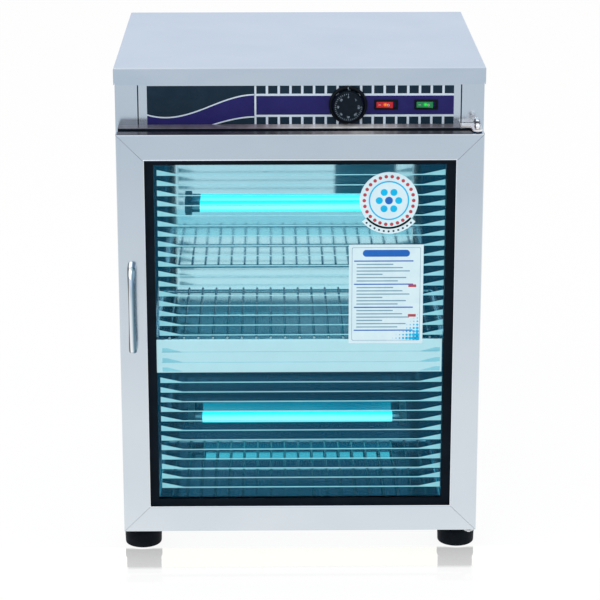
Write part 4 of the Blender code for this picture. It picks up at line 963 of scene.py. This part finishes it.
def ledgeReflectionMaterial(name, reflectionTones, low, high, metallic):
    # a polished edge with a painted reflection: a painted lamp highlight near the middle and painted shade at
    # both ends, under faint random streaks
    made = variedMaterial(name, (0.5, 0.5, 0.5), (0.5, 0.5, 0.5), (0.22, 0.32), metallic, 40,
                          (20, 1400, 1400), 0.03, specular=0.1)
    tree = made.node_tree
    ramp = rampNode(tree, alongNode(tree, "X", low, high), "Result", reflectionTones)
    streak = noiseNode(tree, (90, 6, 6), 2.0)
    amount = rangeNode(tree, streak, "Fac", *noiseSpan, 0.0, 0.35)
    mixed = mixNode(tree, amount, "Result", (0, 0, 0), (0.02, 0.015, 0.02))
    feed(tree, mixed, 6, ramp, "Color")
    feed(tree, tree.nodes["Principled BSDF"], "Base Color", mixed, 2)
    return made


def ledgePieces():
    # the frame's top edge: its section rises by rise x sin a round a soft front, a from 0 to a right angle
    low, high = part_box("front_frame")
    panelLow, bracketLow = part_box("control_panel")[0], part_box("hinge_bracket_top")[0]
    front, back = low.y, panelLow.y - ledge["gap"]
    a = np.linspace(0, np.pi / 2, 7)
    base, rise = high.z + ledge["gap"], ledge["rise"]
    nose = np.stack([front + ledge["edge"] * (1 - np.cos(a)), base + rise * np.sin(a)], -1)
    section = np.vstack([nose, [(back, base + rise), (back, base)]])
    left, right = low.x + ledge["inset"], bracketLow.x - ledge["inset"]
    rows = [np.stack([np.full(len(section), x), section[:, 0], section[:, 1]], -1) for x in (left, right)]
    # its colour is a painted reflection, with a painted highlight near the middle
    makePiece("ledgeEdge", "cabinet", [skin(np.stack(rows))],
              [ledgeReflectionMaterial("ledgePaintedReflection", ledge["reflectionTones"], low.x, high.x, 0.25)])
    top, deep = high.z - ledge["sealTop"], front - ledge["gap"]
    drop, long = ledge["sealDrop"], high.x - low.x - 2 * ledge["inset"]
    strip = roundedBox((0, top - drop / 2), (long, drop), ledge["sealCorner"])
    seal = plate(strip, deep - ledge["sealThick"], deep, ledge["sealEdge"])
    makePiece("frameSeal", "cabinet", [seal], [gasketRubber])


def doorEdgePiece():
    # a thin sheet on the door's top edge, as far as the hinge bush, coloured with a painted reflection: dark,
    # with a painted highlight near the middle
    low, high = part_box("door_rail_top")
    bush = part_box("hinge_bush_top")[0]
    y = (low.y + high.y) / 2
    half = (high.y - low.y) / 2 - ledge["doorInset"]
    left, right = low.x + ledge["doorEnd"], bush.x - ledge["doorEnd"]
    outline = roundedBox(((left + right) / 2, y), (right - left, 2 * half), ledge["doorCorner"])
    base = high.z + ledge["gap"]
    rows = [levelLoop(outline, z) for z in (base, base + ledge["doorSheet"])]
    makePiece("doorEdge", "door", [skin(np.stack(rows))],
              [ledgeReflectionMaterial("doorEdgePaintedReflection", ledge["doorReflectionTones"], low.x, high.x, 0.15)])


ledgePieces()
doorEdgePiece()


# The door frame's inner fold, and the gasket's lip under its top run
bead = {"width": 1.1 * mm, "rise": 0.35 * mm, "sink": 0.02 * mm,
        "inner": 34.0 * mm, "inward": 0.2 * mm, "topRaise": 2.1 * mm,
        "lipEdge": 0.3 * mm, "lipRise": 0.12 * mm}
# the fold's rounding is real; its steel is brighter than the stiles', a painted highlight
foldSteelPaintedHighlight = variedMaterial("foldSteelPaintedHighlight", (0.88, 0.92, 0.95), (0.84, 0.88, 0.92), (0.10, 0.16), 1.0, 30, 900,
                           0.01)


def beadPiece():
    # the rounded fold along the door frame's inner edge: a ridge of height rise x sin a over the front;
    # its top run lies higher, with the gasket's lip below it
    low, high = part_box("door_stile_left")
    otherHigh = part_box("door_stile_right")[1]
    front = low.y
    corners = np.array([(low.x, low.z), (otherHigh.x, low.z), (otherHigh.x, high.z), (low.x, high.z)])
    sign = np.sign(corners - corners.mean(0))
    raised = np.array([(0, 0), (0, 0), (0, 1), (0, 1)]) * bead["topRaise"]
    rows = []
    for t in np.linspace(0, np.pi, 7):
        inset = bead["inner"] - bead["width"] / 2 * (1 + math.cos(t)) + bead["inward"]
        outline = corners - sign * inset + raised
        rows.append(uprightLoop(outline, front - bead["rise"] * math.sin(t) + bead["sink"]))
    makePiece("frameFold", "door", [skin(np.stack(rows), wrapRows=True)], [foldSteelPaintedHighlight])
    inner = corners - sign * (bead["inner"] + bead["lipEdge"])
    top = inner[2, 1] + bead["topRaise"]
    rise = bead["lipRise"]
    lip = ribbon([inner[3, 0], inner[2, 0]], inner[2, 1], top, front - rise, front + rise)
    makePiece("gasketLip", "door", [lip], [gasketRubber])


beadPiece()
print("fittings made")


# Printed sheet on the control panel: a band between rows of squares, and a plain wave on the left
panelInk = {
    "dark": inkMaterial("panelDark", (0.008, 0.022, 0.040), (0.011, 0.027, 0.047), (0.22, 0.32), 0.1),
    "violet": inkMaterial("panelViolet", (0.017, 0.015, 0.112), (0.021, 0.019, 0.128), (0.22, 0.32), 0.1),
    "white": inkMaterial("panelWhite", (0.60, 0.70, 0.80), (0.55, 0.65, 0.76), (0.22, 0.35)),
}
panelPrint = {
    "left": -0.1881, "right": 0.1900, "low": 0.5584, "high": 0.6072, "gap": 0.05 * mm,
    "sheet": 0.10 * mm, "layer": 0.04 * mm, "divider": -0.0552, "line": 3.0 * mm,
    "bandLow": 0.57075, "bandHigh": 0.59445, "bandLine": 2.75 * mm,
    "upperWave": (0.5700, 0.0252, 0.0125), "lowerWave": (0.5380, 0.0310, -0.0020),
    "waveLine": 1.7 * mm, "dividerShares": (0.2, 0.55),
    "squarePitch": 14.49 * mm, "square": 11.5 * mm, "firstSquare": -0.05335, "squares": 17,
}


def waveHeights(x, start, drop, swing):
    # from start to start + drop by a smooth step, 3 s^2 - 2 s^3, less swing x (1 - s) sin(pi s) at its foot
    left, run = panelPrint["left"], panelPrint["divider"] - panelPrint["left"]
    s = ((x - left) / run).clip(0, 1)
    return start + drop * (3 * s ** 2 - 2 * s ** 3) - swing * np.sin(np.pi * s) * (1 - s)


def panelPrintPiece():
    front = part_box("control_panel")[0].y - panelPrint["gap"]
    left, right, bottom, top = (panelPrint[k] for k in ("left", "right", "low", "high"))
    divider, line = panelPrint["divider"], panelPrint["line"]
    sheet = front - panelPrint["sheet"]
    first = sheet - panelPrint["layer"]
    second = first - panelPrint["layer"]
    x = np.linspace(left, divider, 80)
    stroke = panelPrint["waveLine"]
    shells = [(*ribbon([left, divider], bottom, top, sheet, front), 0),
              (*ribbon([divider, right], bottom, top, sheet, front), 2)]
    rise = waveHeights(x, *panelPrint["upperWave"])
    fall = waveHeights(x, *panelPrint["lowerWave"]).clip(bottom)
    shells.append((*ribbon(x, fall, rise, first, sheet), 1))
    shells.append((*ribbon(x, rise, rise + stroke, second, sheet), 2))
    x, fall = x[fall > bottom], fall[fall > bottom]
    shells.append((*ribbon(x, (fall - stroke).clip(bottom), fall, second, sheet), 2))
    shells.append((*ribbon([divider, right], panelPrint["bandLow"], panelPrint["bandHigh"], first, sheet), 1))
    start, pitch, size = (panelPrint[k] for k in ("firstSquare", "squarePitch", "square"))
    rows = ((bottom, panelPrint["bandLow"] - panelPrint["bandLine"]),
            (panelPrint["bandHigh"] + panelPrint["bandLine"], top))
    for k in range(panelPrint["squares"]):
        x0 = start + k * pitch
        shells += [(*ribbon([x0, min(x0 + size, right)], z0, z1, first, sheet), 0) for z0, z1 in rows]
    before, after = panelPrint["dividerShares"]
    shells.append((*ribbon([divider - line * before, divider + line * after], bottom, top, second, sheet), 2))
    makePiece("panelPrint", "cabinet", shells,
              [panelInk["dark"], panelInk["violet"], panelInk["white"]], crease=20)


panelPrintPiece()
print("panel print made")


# Printed lines on the door glass, each with a wedge at both ends, and one broad band
# the inks' glows are painted light from behind the pane, and the band's strong glow paints it pale
glassInk = filmMaterial("glassInk", (0.28, 0.66, 0.74), (0.24, 0.60, 0.69), (0.05, 0.09, 0.10), 0.22)
bandInk = filmMaterial("bandInk", (0.14, 0.24, 0.26), (0.12, 0.21, 0.23), (0.42, 0.66, 0.72), 0.42)
bandLineInk = filmMaterial("bandLineInk", (0.20, 0.50, 0.58), (0.17, 0.45, 0.54), (0.06, 0.14, 0.16), 0.30)
glassPrint = {
    "left": -0.1760, "right": 0.1787, "wedgeLeft": -0.1484, "wedgeRight": 0.1510, "pitch": 12.9 * mm,
    "top": 0.5030, "linesAbove": 17, "lowest": 0.0920, "linesBelow": 12, "line": 1.35 * mm,
    "wedge": 7.4 * mm, "bandLow": 0.2471, "bandHigh": 0.2905, "bandLeft": -0.1800, "bandRight": 0.1780,
    "bandLines": (0.2738, 0.2600), "bandLine": 0.8 * mm, "bandInset": 6.0 * mm,
    "bandWedges": (0.2738, 0.2606, 0.2484), "wedgeInset": 3.0 * mm, "wedgeShare": 0.25,
    "bandWedge": 5.5 * mm, "bandWedgeTip": 0.6 * mm,
    "gap": 0.02 * mm, "thickness": 0.10 * mm, "layer": 0.03 * mm,
}


def stripeShell(z, front, back):
    # the line's upper edge rises straight from the wedge's tip to the full wedge at the end
    g = glassPrint
    x = [g["left"], g["wedgeLeft"], g["wedgeRight"], g["right"]]
    high = [z + g["wedge"], z + g["line"], z + g["line"], z + g["wedge"]]
    return ribbon(x, z, high, front, back)


def glassPrintPiece():
    g = glassPrint
    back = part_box("door_glass")[0].y - g["gap"]
    front = back - g["thickness"]
    above = g["top"] - g["pitch"] * np.arange(g["linesAbove"])
    below = g["lowest"] + g["pitch"] * np.arange(g["linesBelow"])
    shells = [stripeShell(z - g["line"] / 2, front, back) for z in np.concatenate([above, below])]
    shells.append((*ribbon([g["bandLeft"], g["bandRight"]], g["bandLow"], g["bandHigh"], front, back), 1))
    over = front - g["layer"]
    run = [g["bandLeft"] + g["bandInset"], g["bandRight"] - g["bandInset"]]
    shells += [(*ribbon(run, z, z + g["bandLine"], over, front), 2) for z in g["bandLines"]]
    ends = ((g["left"] + g["wedgeInset"], g["wedgeLeft"]), (g["right"] - g["wedgeInset"], g["wedgeRight"]))
    for z in g["bandWedges"]:
        for start, end in ends:
            x = np.array([start, start + (end - start) * g["wedgeShare"], end])
            top = z + np.array([g["bandWedge"], g["bandWedge"], g["bandWedgeTip"]])
            order = np.argsort(x)
            shells.append((*ribbon(x[order], z, top[order], over, front), 2))
    makePiece("glassPrint", "door", shells, [glassInk, bandInk, bandLineInk], crease=20)


glassPrintPiece()
print("glass print made")


# Two stickers on the glass: a round one with a border of dots over a short tab, and a ruled card
sticker = {
    "white": inkMaterial("stickerWhite", (0.64, 0.80, 0.86), (0.59, 0.76, 0.83)),
    "red": inkMaterial("stickerRed", (0.46, 0.060, 0.080), (0.40, 0.052, 0.070)),
    "blue": inkMaterial("stickerBlue", (0.012, 0.13, 0.50), (0.010, 0.11, 0.44)),
    "cyan": inkMaterial("stickerCyan", (0.0, 0.46, 0.80), (0.0, 0.41, 0.73)),
    "pale": inkMaterial("stickerPale", (0.20, 0.36, 0.47), (0.17, 0.32, 0.43)),
    "dark": inkMaterial("stickerDark", (0.02, 0.04, 0.06), (0.015, 0.03, 0.05)),
    "thickness": 0.18 * mm, "layer": 0.04 * mm,
    "gap": 0.16 * mm,
    "roundCentre": (0.1095, 0.4700), "roundRadius": 0.0362, "dots": 26, "dotRing": 0.0305,
    "dot": 2.2 * mm, "petals": 6, "petalRing": 0.0120, "petal": 4.4 * mm, "heartShare": 1.1,
    "innerRing": (0.0250, 0.0232), "tabReach": 0.0425, "tabOverlapShare": 0.93, "tabTurn": (219, 321),
    "tabDots": 11, "tabDot": 1.3 * mm, "tabDotRing": 0.0394, "tabDotTurn": 7,
    "card": (0.0607, 0.1533, 0.2850, 0.4136), "cardCorner": 1.0 * mm, "margin": 3.6 * mm,
    "frameLine": 0.5 * mm, "frameCorner": 2.0 * mm,
    "pill": (0.0585, 0.0088), "pillDrop": 0.0112, "pillCorner": 4.3 * mm,
    "rules": 22, "rulePitch": 4.3 * mm, "ruleDrop": 0.0212, "rule": 1.5 * mm,
    "ruleShares": (0.96, 0.62, 0.78, 0.90, 0.44, 0.84, 0.70), "ruleStart": 6.0 * mm,
    "ruleIndent": 3.2 * mm, "headingEvery": 7, "marksAfter": (8, 17), "mark": (0.0098, 0.0034),
    "markInset": 10.0 * mm, "markCorner": 0.5 * mm, "halftoneInset": 3.0 * mm,
    "halftoneRows": 8, "halftonePitch": 4.4 * mm, "halftoneDot": 2.9 * mm,
}


def dotShell(x, z, radius, front, back, steps=20):
    return plate(circleOutline((x, z), radius, steps), front, back)


def dotsRound(ring, radius, turns, front, back, ink):
    # dots at these turns round the round sticker's centre
    x, z = sticker["roundCentre"]
    return [(*dotShell(x + ring * math.cos(t), z + ring * math.sin(t), radius, front, back), ink)
            for t in turns]


def tabShell(x, z, front, back):
    # a strip of the ring between the round sticker and the tab's reach, over the tab's turn in degrees
    t = np.radians(np.linspace(*sticker["tabTurn"], 40))
    ring = np.stack([np.cos(t), np.sin(t)], -1)
    outline = np.vstack([ring * sticker["tabReach"],
                         ring[::-1] * sticker["roundRadius"] * sticker["tabOverlapShare"]])
    outline += (x, z)
    return plate(outline, front, back)


def halftoneShells(x1, z0, front, back):
    # dots in a lower corner, each smaller the farther it lies from that corner
    made, rows, pitch = [], sticker["halftoneRows"], sticker["halftonePitch"]
    for i in range(rows):
        for j in range(rows - i):
            radius = sticker["halftoneDot"] * (1 - (i + j) / rows)
            made.append((*dotShell(x1 - i * pitch, z0 + j * pitch, radius, front, back), 3))
    return made


def roundStickerPiece(inks, front, back, over):
    x, z = sticker["roundCentre"]
    disc = plate(circleOutline((x, z), sticker["roundRadius"], 96), front, back)
    shells = [disc, tabShell(x, z, front, back)]
    turns = np.linspace(0, 2 * np.pi, sticker["dots"], endpoint=False)
    shells += dotsRound(sticker["dotRing"], sticker["dot"], turns, over, front, 1)
    outer, inner = (circleOutline((x, z), r, 64) for r in sticker["innerRing"])
    shells.append((*band(outer, inner, over, front), 3))
    turns = np.linspace(0, 2 * np.pi, sticker["petals"], endpoint=False)
    shells += dotsRound(sticker["petalRing"], sticker["petal"], turns, over, front, 3)
    shells.append((*dotShell(x, z, sticker["petal"] * sticker["heartShare"], over, front), 2))
    first, last = sticker["tabTurn"]
    inset = sticker["tabDotTurn"]
    turns = np.radians(np.linspace(first + inset, last - inset, sticker["tabDots"]))
    shells += dotsRound(sticker["tabDotRing"], sticker["tabDot"], turns, over, front, 5)
    makePiece("roundSticker", "door", shells, inks, crease=20)


def cardPiece(inks, front, back, over):
    x0, x1, z0, z1 = sticker["card"]
    centre, size = ((x0 + x1) / 2, (z0 + z1) / 2), (x1 - x0, z1 - z0)
    margin = sticker["margin"]
    shells = [plate(roundedBox(centre, size, sticker["cardCorner"]), front, back)]
    frames = [roundedBox(centre, (size[0] - 2 * by, size[1] - 2 * by), sticker["frameCorner"])
              for by in (margin, margin + sticker["frameLine"])]
    shells.append((*band(*frames, over, front), 4))
    pill = roundedBox((centre[0], z1 - sticker["pillDrop"]), sticker["pill"], sticker["pillCorner"])
    shells.append((*plate(pill, over, front), 2))
    start, run = x0 + margin + sticker["ruleStart"], size[0] - 2 * margin - 2 * sticker["ruleStart"]
    shares, half = sticker["ruleShares"], sticker["rule"] / 2
    for k in range(sticker["rules"]):
        z = z1 - sticker["ruleDrop"] - sticker["rulePitch"] * k
        heading = k % sticker["headingEvery"] == 0
        begin = start - (sticker["ruleIndent"] if heading else 0)
        end = start + run * shares[k % len(shares)]
        shells.append((*ribbon([begin, end], z - half, z + half, over, front), 2 if heading else 4))
    top = over - sticker["layer"]
    for k in sticker["marksAfter"]:
        z = z1 - sticker["ruleDrop"] - sticker["rulePitch"] * (k - 0.5)
        mark = roundedBox((x1 - margin - sticker["markInset"], z), sticker["mark"], sticker["markCorner"])
        shells.append((*plate(mark, top, front), 1))
    inset = margin + sticker["halftoneInset"]
    shells += halftoneShells(x1 - inset, z0 + inset, top, front)
    makePiece("ruledCard", "door", shells, inks, crease=20)


def stickerPieces():
    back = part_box("door_glass")[0].y - sticker["gap"]
    front = back - sticker["thickness"]
    over = front - sticker["layer"]
    inks = [sticker[k] for k in ("white", "red", "blue", "cyan", "pale", "dark")]
    roundStickerPiece(inks, front, back, over)
    cardPiece(inks, front, back, over)


stickerPieces()
print("stickers made")


# Floor, light and camera
studio = {
    "cameraPlace": (-0.0357, -2.911, 1.192), "pitch": 16.47, "yaw": 0.75, "lens": 136.9, "shift": -0.06,
    "sensor": 36.0, "world": 0.72, "lampTarget": (0, 0, 0.3),
    "lamps": (("keyLamp", (-1.6, -2.2, 2.4), (3.0, 3.0), 34.0),
              ("fillLamp", (2.2, -1.4, 1.6), (2.2, 2.4), 14.0)),
    "floorLift": 0.88, "floorLight": 1.03, "floorReach": 30.0,
    "floorDrop": 0.05 * mm, "floorRun": (-0.2, -2.6), "mirrorTint": (1.5, 1.38, 1.18, 1),
    "mirrorRun": (-0.270, -0.150),
    "mirrorLevels": ((0.0, 0.03), (0.22, 0.05), (0.30, 0.36), (0.75, 0.46), (0.80, 0.0), (1.0, 0.0)),
    "frontFoot": (0.2035, 0.152, 0.0), "footGap": (0.0262, 0.0280),
    "floorTones": ((0.0, (1.0, 1.0, 1.0)), (0.35, (0.86, 0.88, 0.90)), (1.0, (0.64, 0.70, 0.77))),
    "roomTones": ((0.0, (0.66, 0.74, 0.87)), (0.42, (0.78, 0.84, 0.93)), (1.0, (1.0, 1.0, 1.0))),
}


def glossyNode(tree, path):
    # 1 for what metal and glass see, 0 for everything else
    return addNode(tree, "Math", [(0, path, "Is Glossy Ray"), (1, path, "Is Transmission Ray")],
                   operation="MAXIMUM")


def floorMaterial():
    # the camera sees a pale floor that keeps the shadow; metal and glass see it grow dimmer with distance
    made, tree, shader = startMaterial("paleFloor")
    broad = noiseNode(tree, (1.5, 1.5, 1.5), 2.0)
    tint = mixNode(tree, broad, "Fac", (0.90, 0.90, 0.90), (0.92, 0.92, 0.92))
    feed(tree, shader, "Base Color", tint, 2)
    setInputs(shader, {"Roughness": 0.9, "Specular IOR Level": 0.0})
    lift = addNode(tree, "Emission")
    setInputs(lift, {"Color": (1, 1, 1, 1), "Strength": studio["floorLight"]})
    plain = addNode(tree, "MixShader", [(1, shader, "BSDF"), (2, lift, "Emission")])
    plain.inputs[0].default_value = studio["floorLift"]
    mirror = addNode(tree, "BsdfGlossy")
    setInputs(mirror, {"Roughness": 0.04, "Color": studio["mirrorTint"]})
    near = alongNode(tree, "Y", *studio["mirrorRun"])
    amount = rampNode(tree, near, "Result", [(at, (level,) * 3) for at, level in studio["mirrorLevels"]])
    place = addNode(tree, "TexCoord")
    mirrored = addNode(tree, "VectorMath", [(0, place, "Object")], operation="ABSOLUTE")
    foot = addNode(tree, "VectorMath", [(0, mirrored, "Vector")], operation="SUBTRACT")
    foot.inputs[1].default_value = studio["frontFoot"]
    away = addNode(tree, "VectorMath", [(0, foot, "Vector")], operation="LENGTH")
    clear = rangeNode(tree, away, "Value", *studio["footGap"], 0.0, 1.0)
    share = addNode(tree, "Math", [(0, amount, "Color"), (1, clear, "Result")], operation="MULTIPLY")
    shown = addNode(tree, "MixShader",
                    [(0, share, "Value"), (1, plain, "Shader"), (2, mirror, "BSDF")])
    distance = alongNode(tree, "Y", *studio["floorRun"])
    ramp = rampNode(tree, distance, "Result", studio["floorTones"])
    seen = addNode(tree, "Emission", [("Color", ramp, "Color")])
    path = addNode(tree, "LightPath")
    glossy = glossyNode(tree, path)
    mixed = addNode(tree, "MixShader",
                    [(0, glossy, "Value"), (1, shown, "Shader"), (2, seen, "Emission")])
    toSurface(tree, mixed)
    return made


def floorPiece():
    mesh = bpy.data.meshes.new("floor")
    reach = studio["floorReach"]
    corners = [(-reach, -reach, 0), (reach, -reach, 0), (reach, reach, 0), (-reach, reach, 0)]
    mesh.from_pydata(corners, [], [(0, 1, 2, 3)])
    mesh.materials.append(floorMaterial())
    floor = bpy.data.objects.new("floor", mesh)
    bpy.context.scene.collection.objects.link(floor)
    floor.location.z = -studio["floorDrop"]


def studioWorld():
    # white for the camera, a soft room for metal and glass, a plain level for everything else
    world = bpy.data.worlds.new("studio")
    world.use_nodes = True
    bpy.context.scene.world = world
    tree = world.node_tree
    tree.nodes.clear()
    output = addNode(tree, "OutputWorld")
    place = addNode(tree, "TexCoord")
    split = addNode(tree, "SeparateXYZ", [("Vector", place, "Generated")])
    height = rangeNode(tree, split, "Z", -0.1, 1.0, 0.0, 1.0)
    ramp = rampNode(tree, height, "Result", studio["roomTones"])
    plain = addNode(tree, "Background")
    setInputs(plain, {"Color": (1, 1, 1, 1), "Strength": studio["world"]})
    room = addNode(tree, "Background", [("Color", ramp, "Color")])
    white = addNode(tree, "Background")
    white.inputs["Color"].default_value = (1, 1, 1, 1)
    path = addNode(tree, "LightPath")
    glossy = glossyNode(tree, path)
    first = addNode(tree, "MixShader",
                    [(0, glossy, "Value"), (1, plain, "Background"), (2, room, "Background")])
    second = addNode(tree, "MixShader",
                     [(0, path, "Is Camera Ray"), (1, first, "Shader"), (2, white, "Background")])
    feed(tree, output, "Surface", second, "Shader")


def softLamp(name, place, size, power):
    data = bpy.data.lights.new(name, "AREA")
    data.shape, data.size, data.size_y, data.energy = "RECTANGLE", size[0], size[1], power
    holder = bpy.data.objects.new(name, data)
    holder.location = place
    holder.rotation_euler = (Vector(studio["lampTarget"]) - Vector(place)).to_track_quat("-Z", "Y").to_euler()
    bpy.context.scene.collection.objects.link(holder)


def studioCamera():
    data = bpy.data.cameras.new("camera")
    data.lens, data.sensor_width, data.shift_y = (studio[k] for k in ("lens", "sensor", "shift"))
    camera = bpy.data.objects.new("camera", data)
    camera.location = studio["cameraPlace"]
    pitch, yaw = math.radians(studio["pitch"]), math.radians(studio["yaw"])
    aim = Vector((math.sin(yaw) * math.cos(pitch), math.cos(yaw) * math.cos(pitch), -math.sin(pitch)))
    camera.rotation_euler = aim.to_track_quat("-Z", "Y").to_euler()
    bpy.context.scene.collection.objects.link(camera)
    bpy.context.scene.camera = camera


floorPiece()
studioWorld()
for lampValues in studio["lamps"]:
    softLamp(*lampValues)
studioCamera()
bpy.context.scene.view_settings.view_transform = "Standard"
print("studio made")
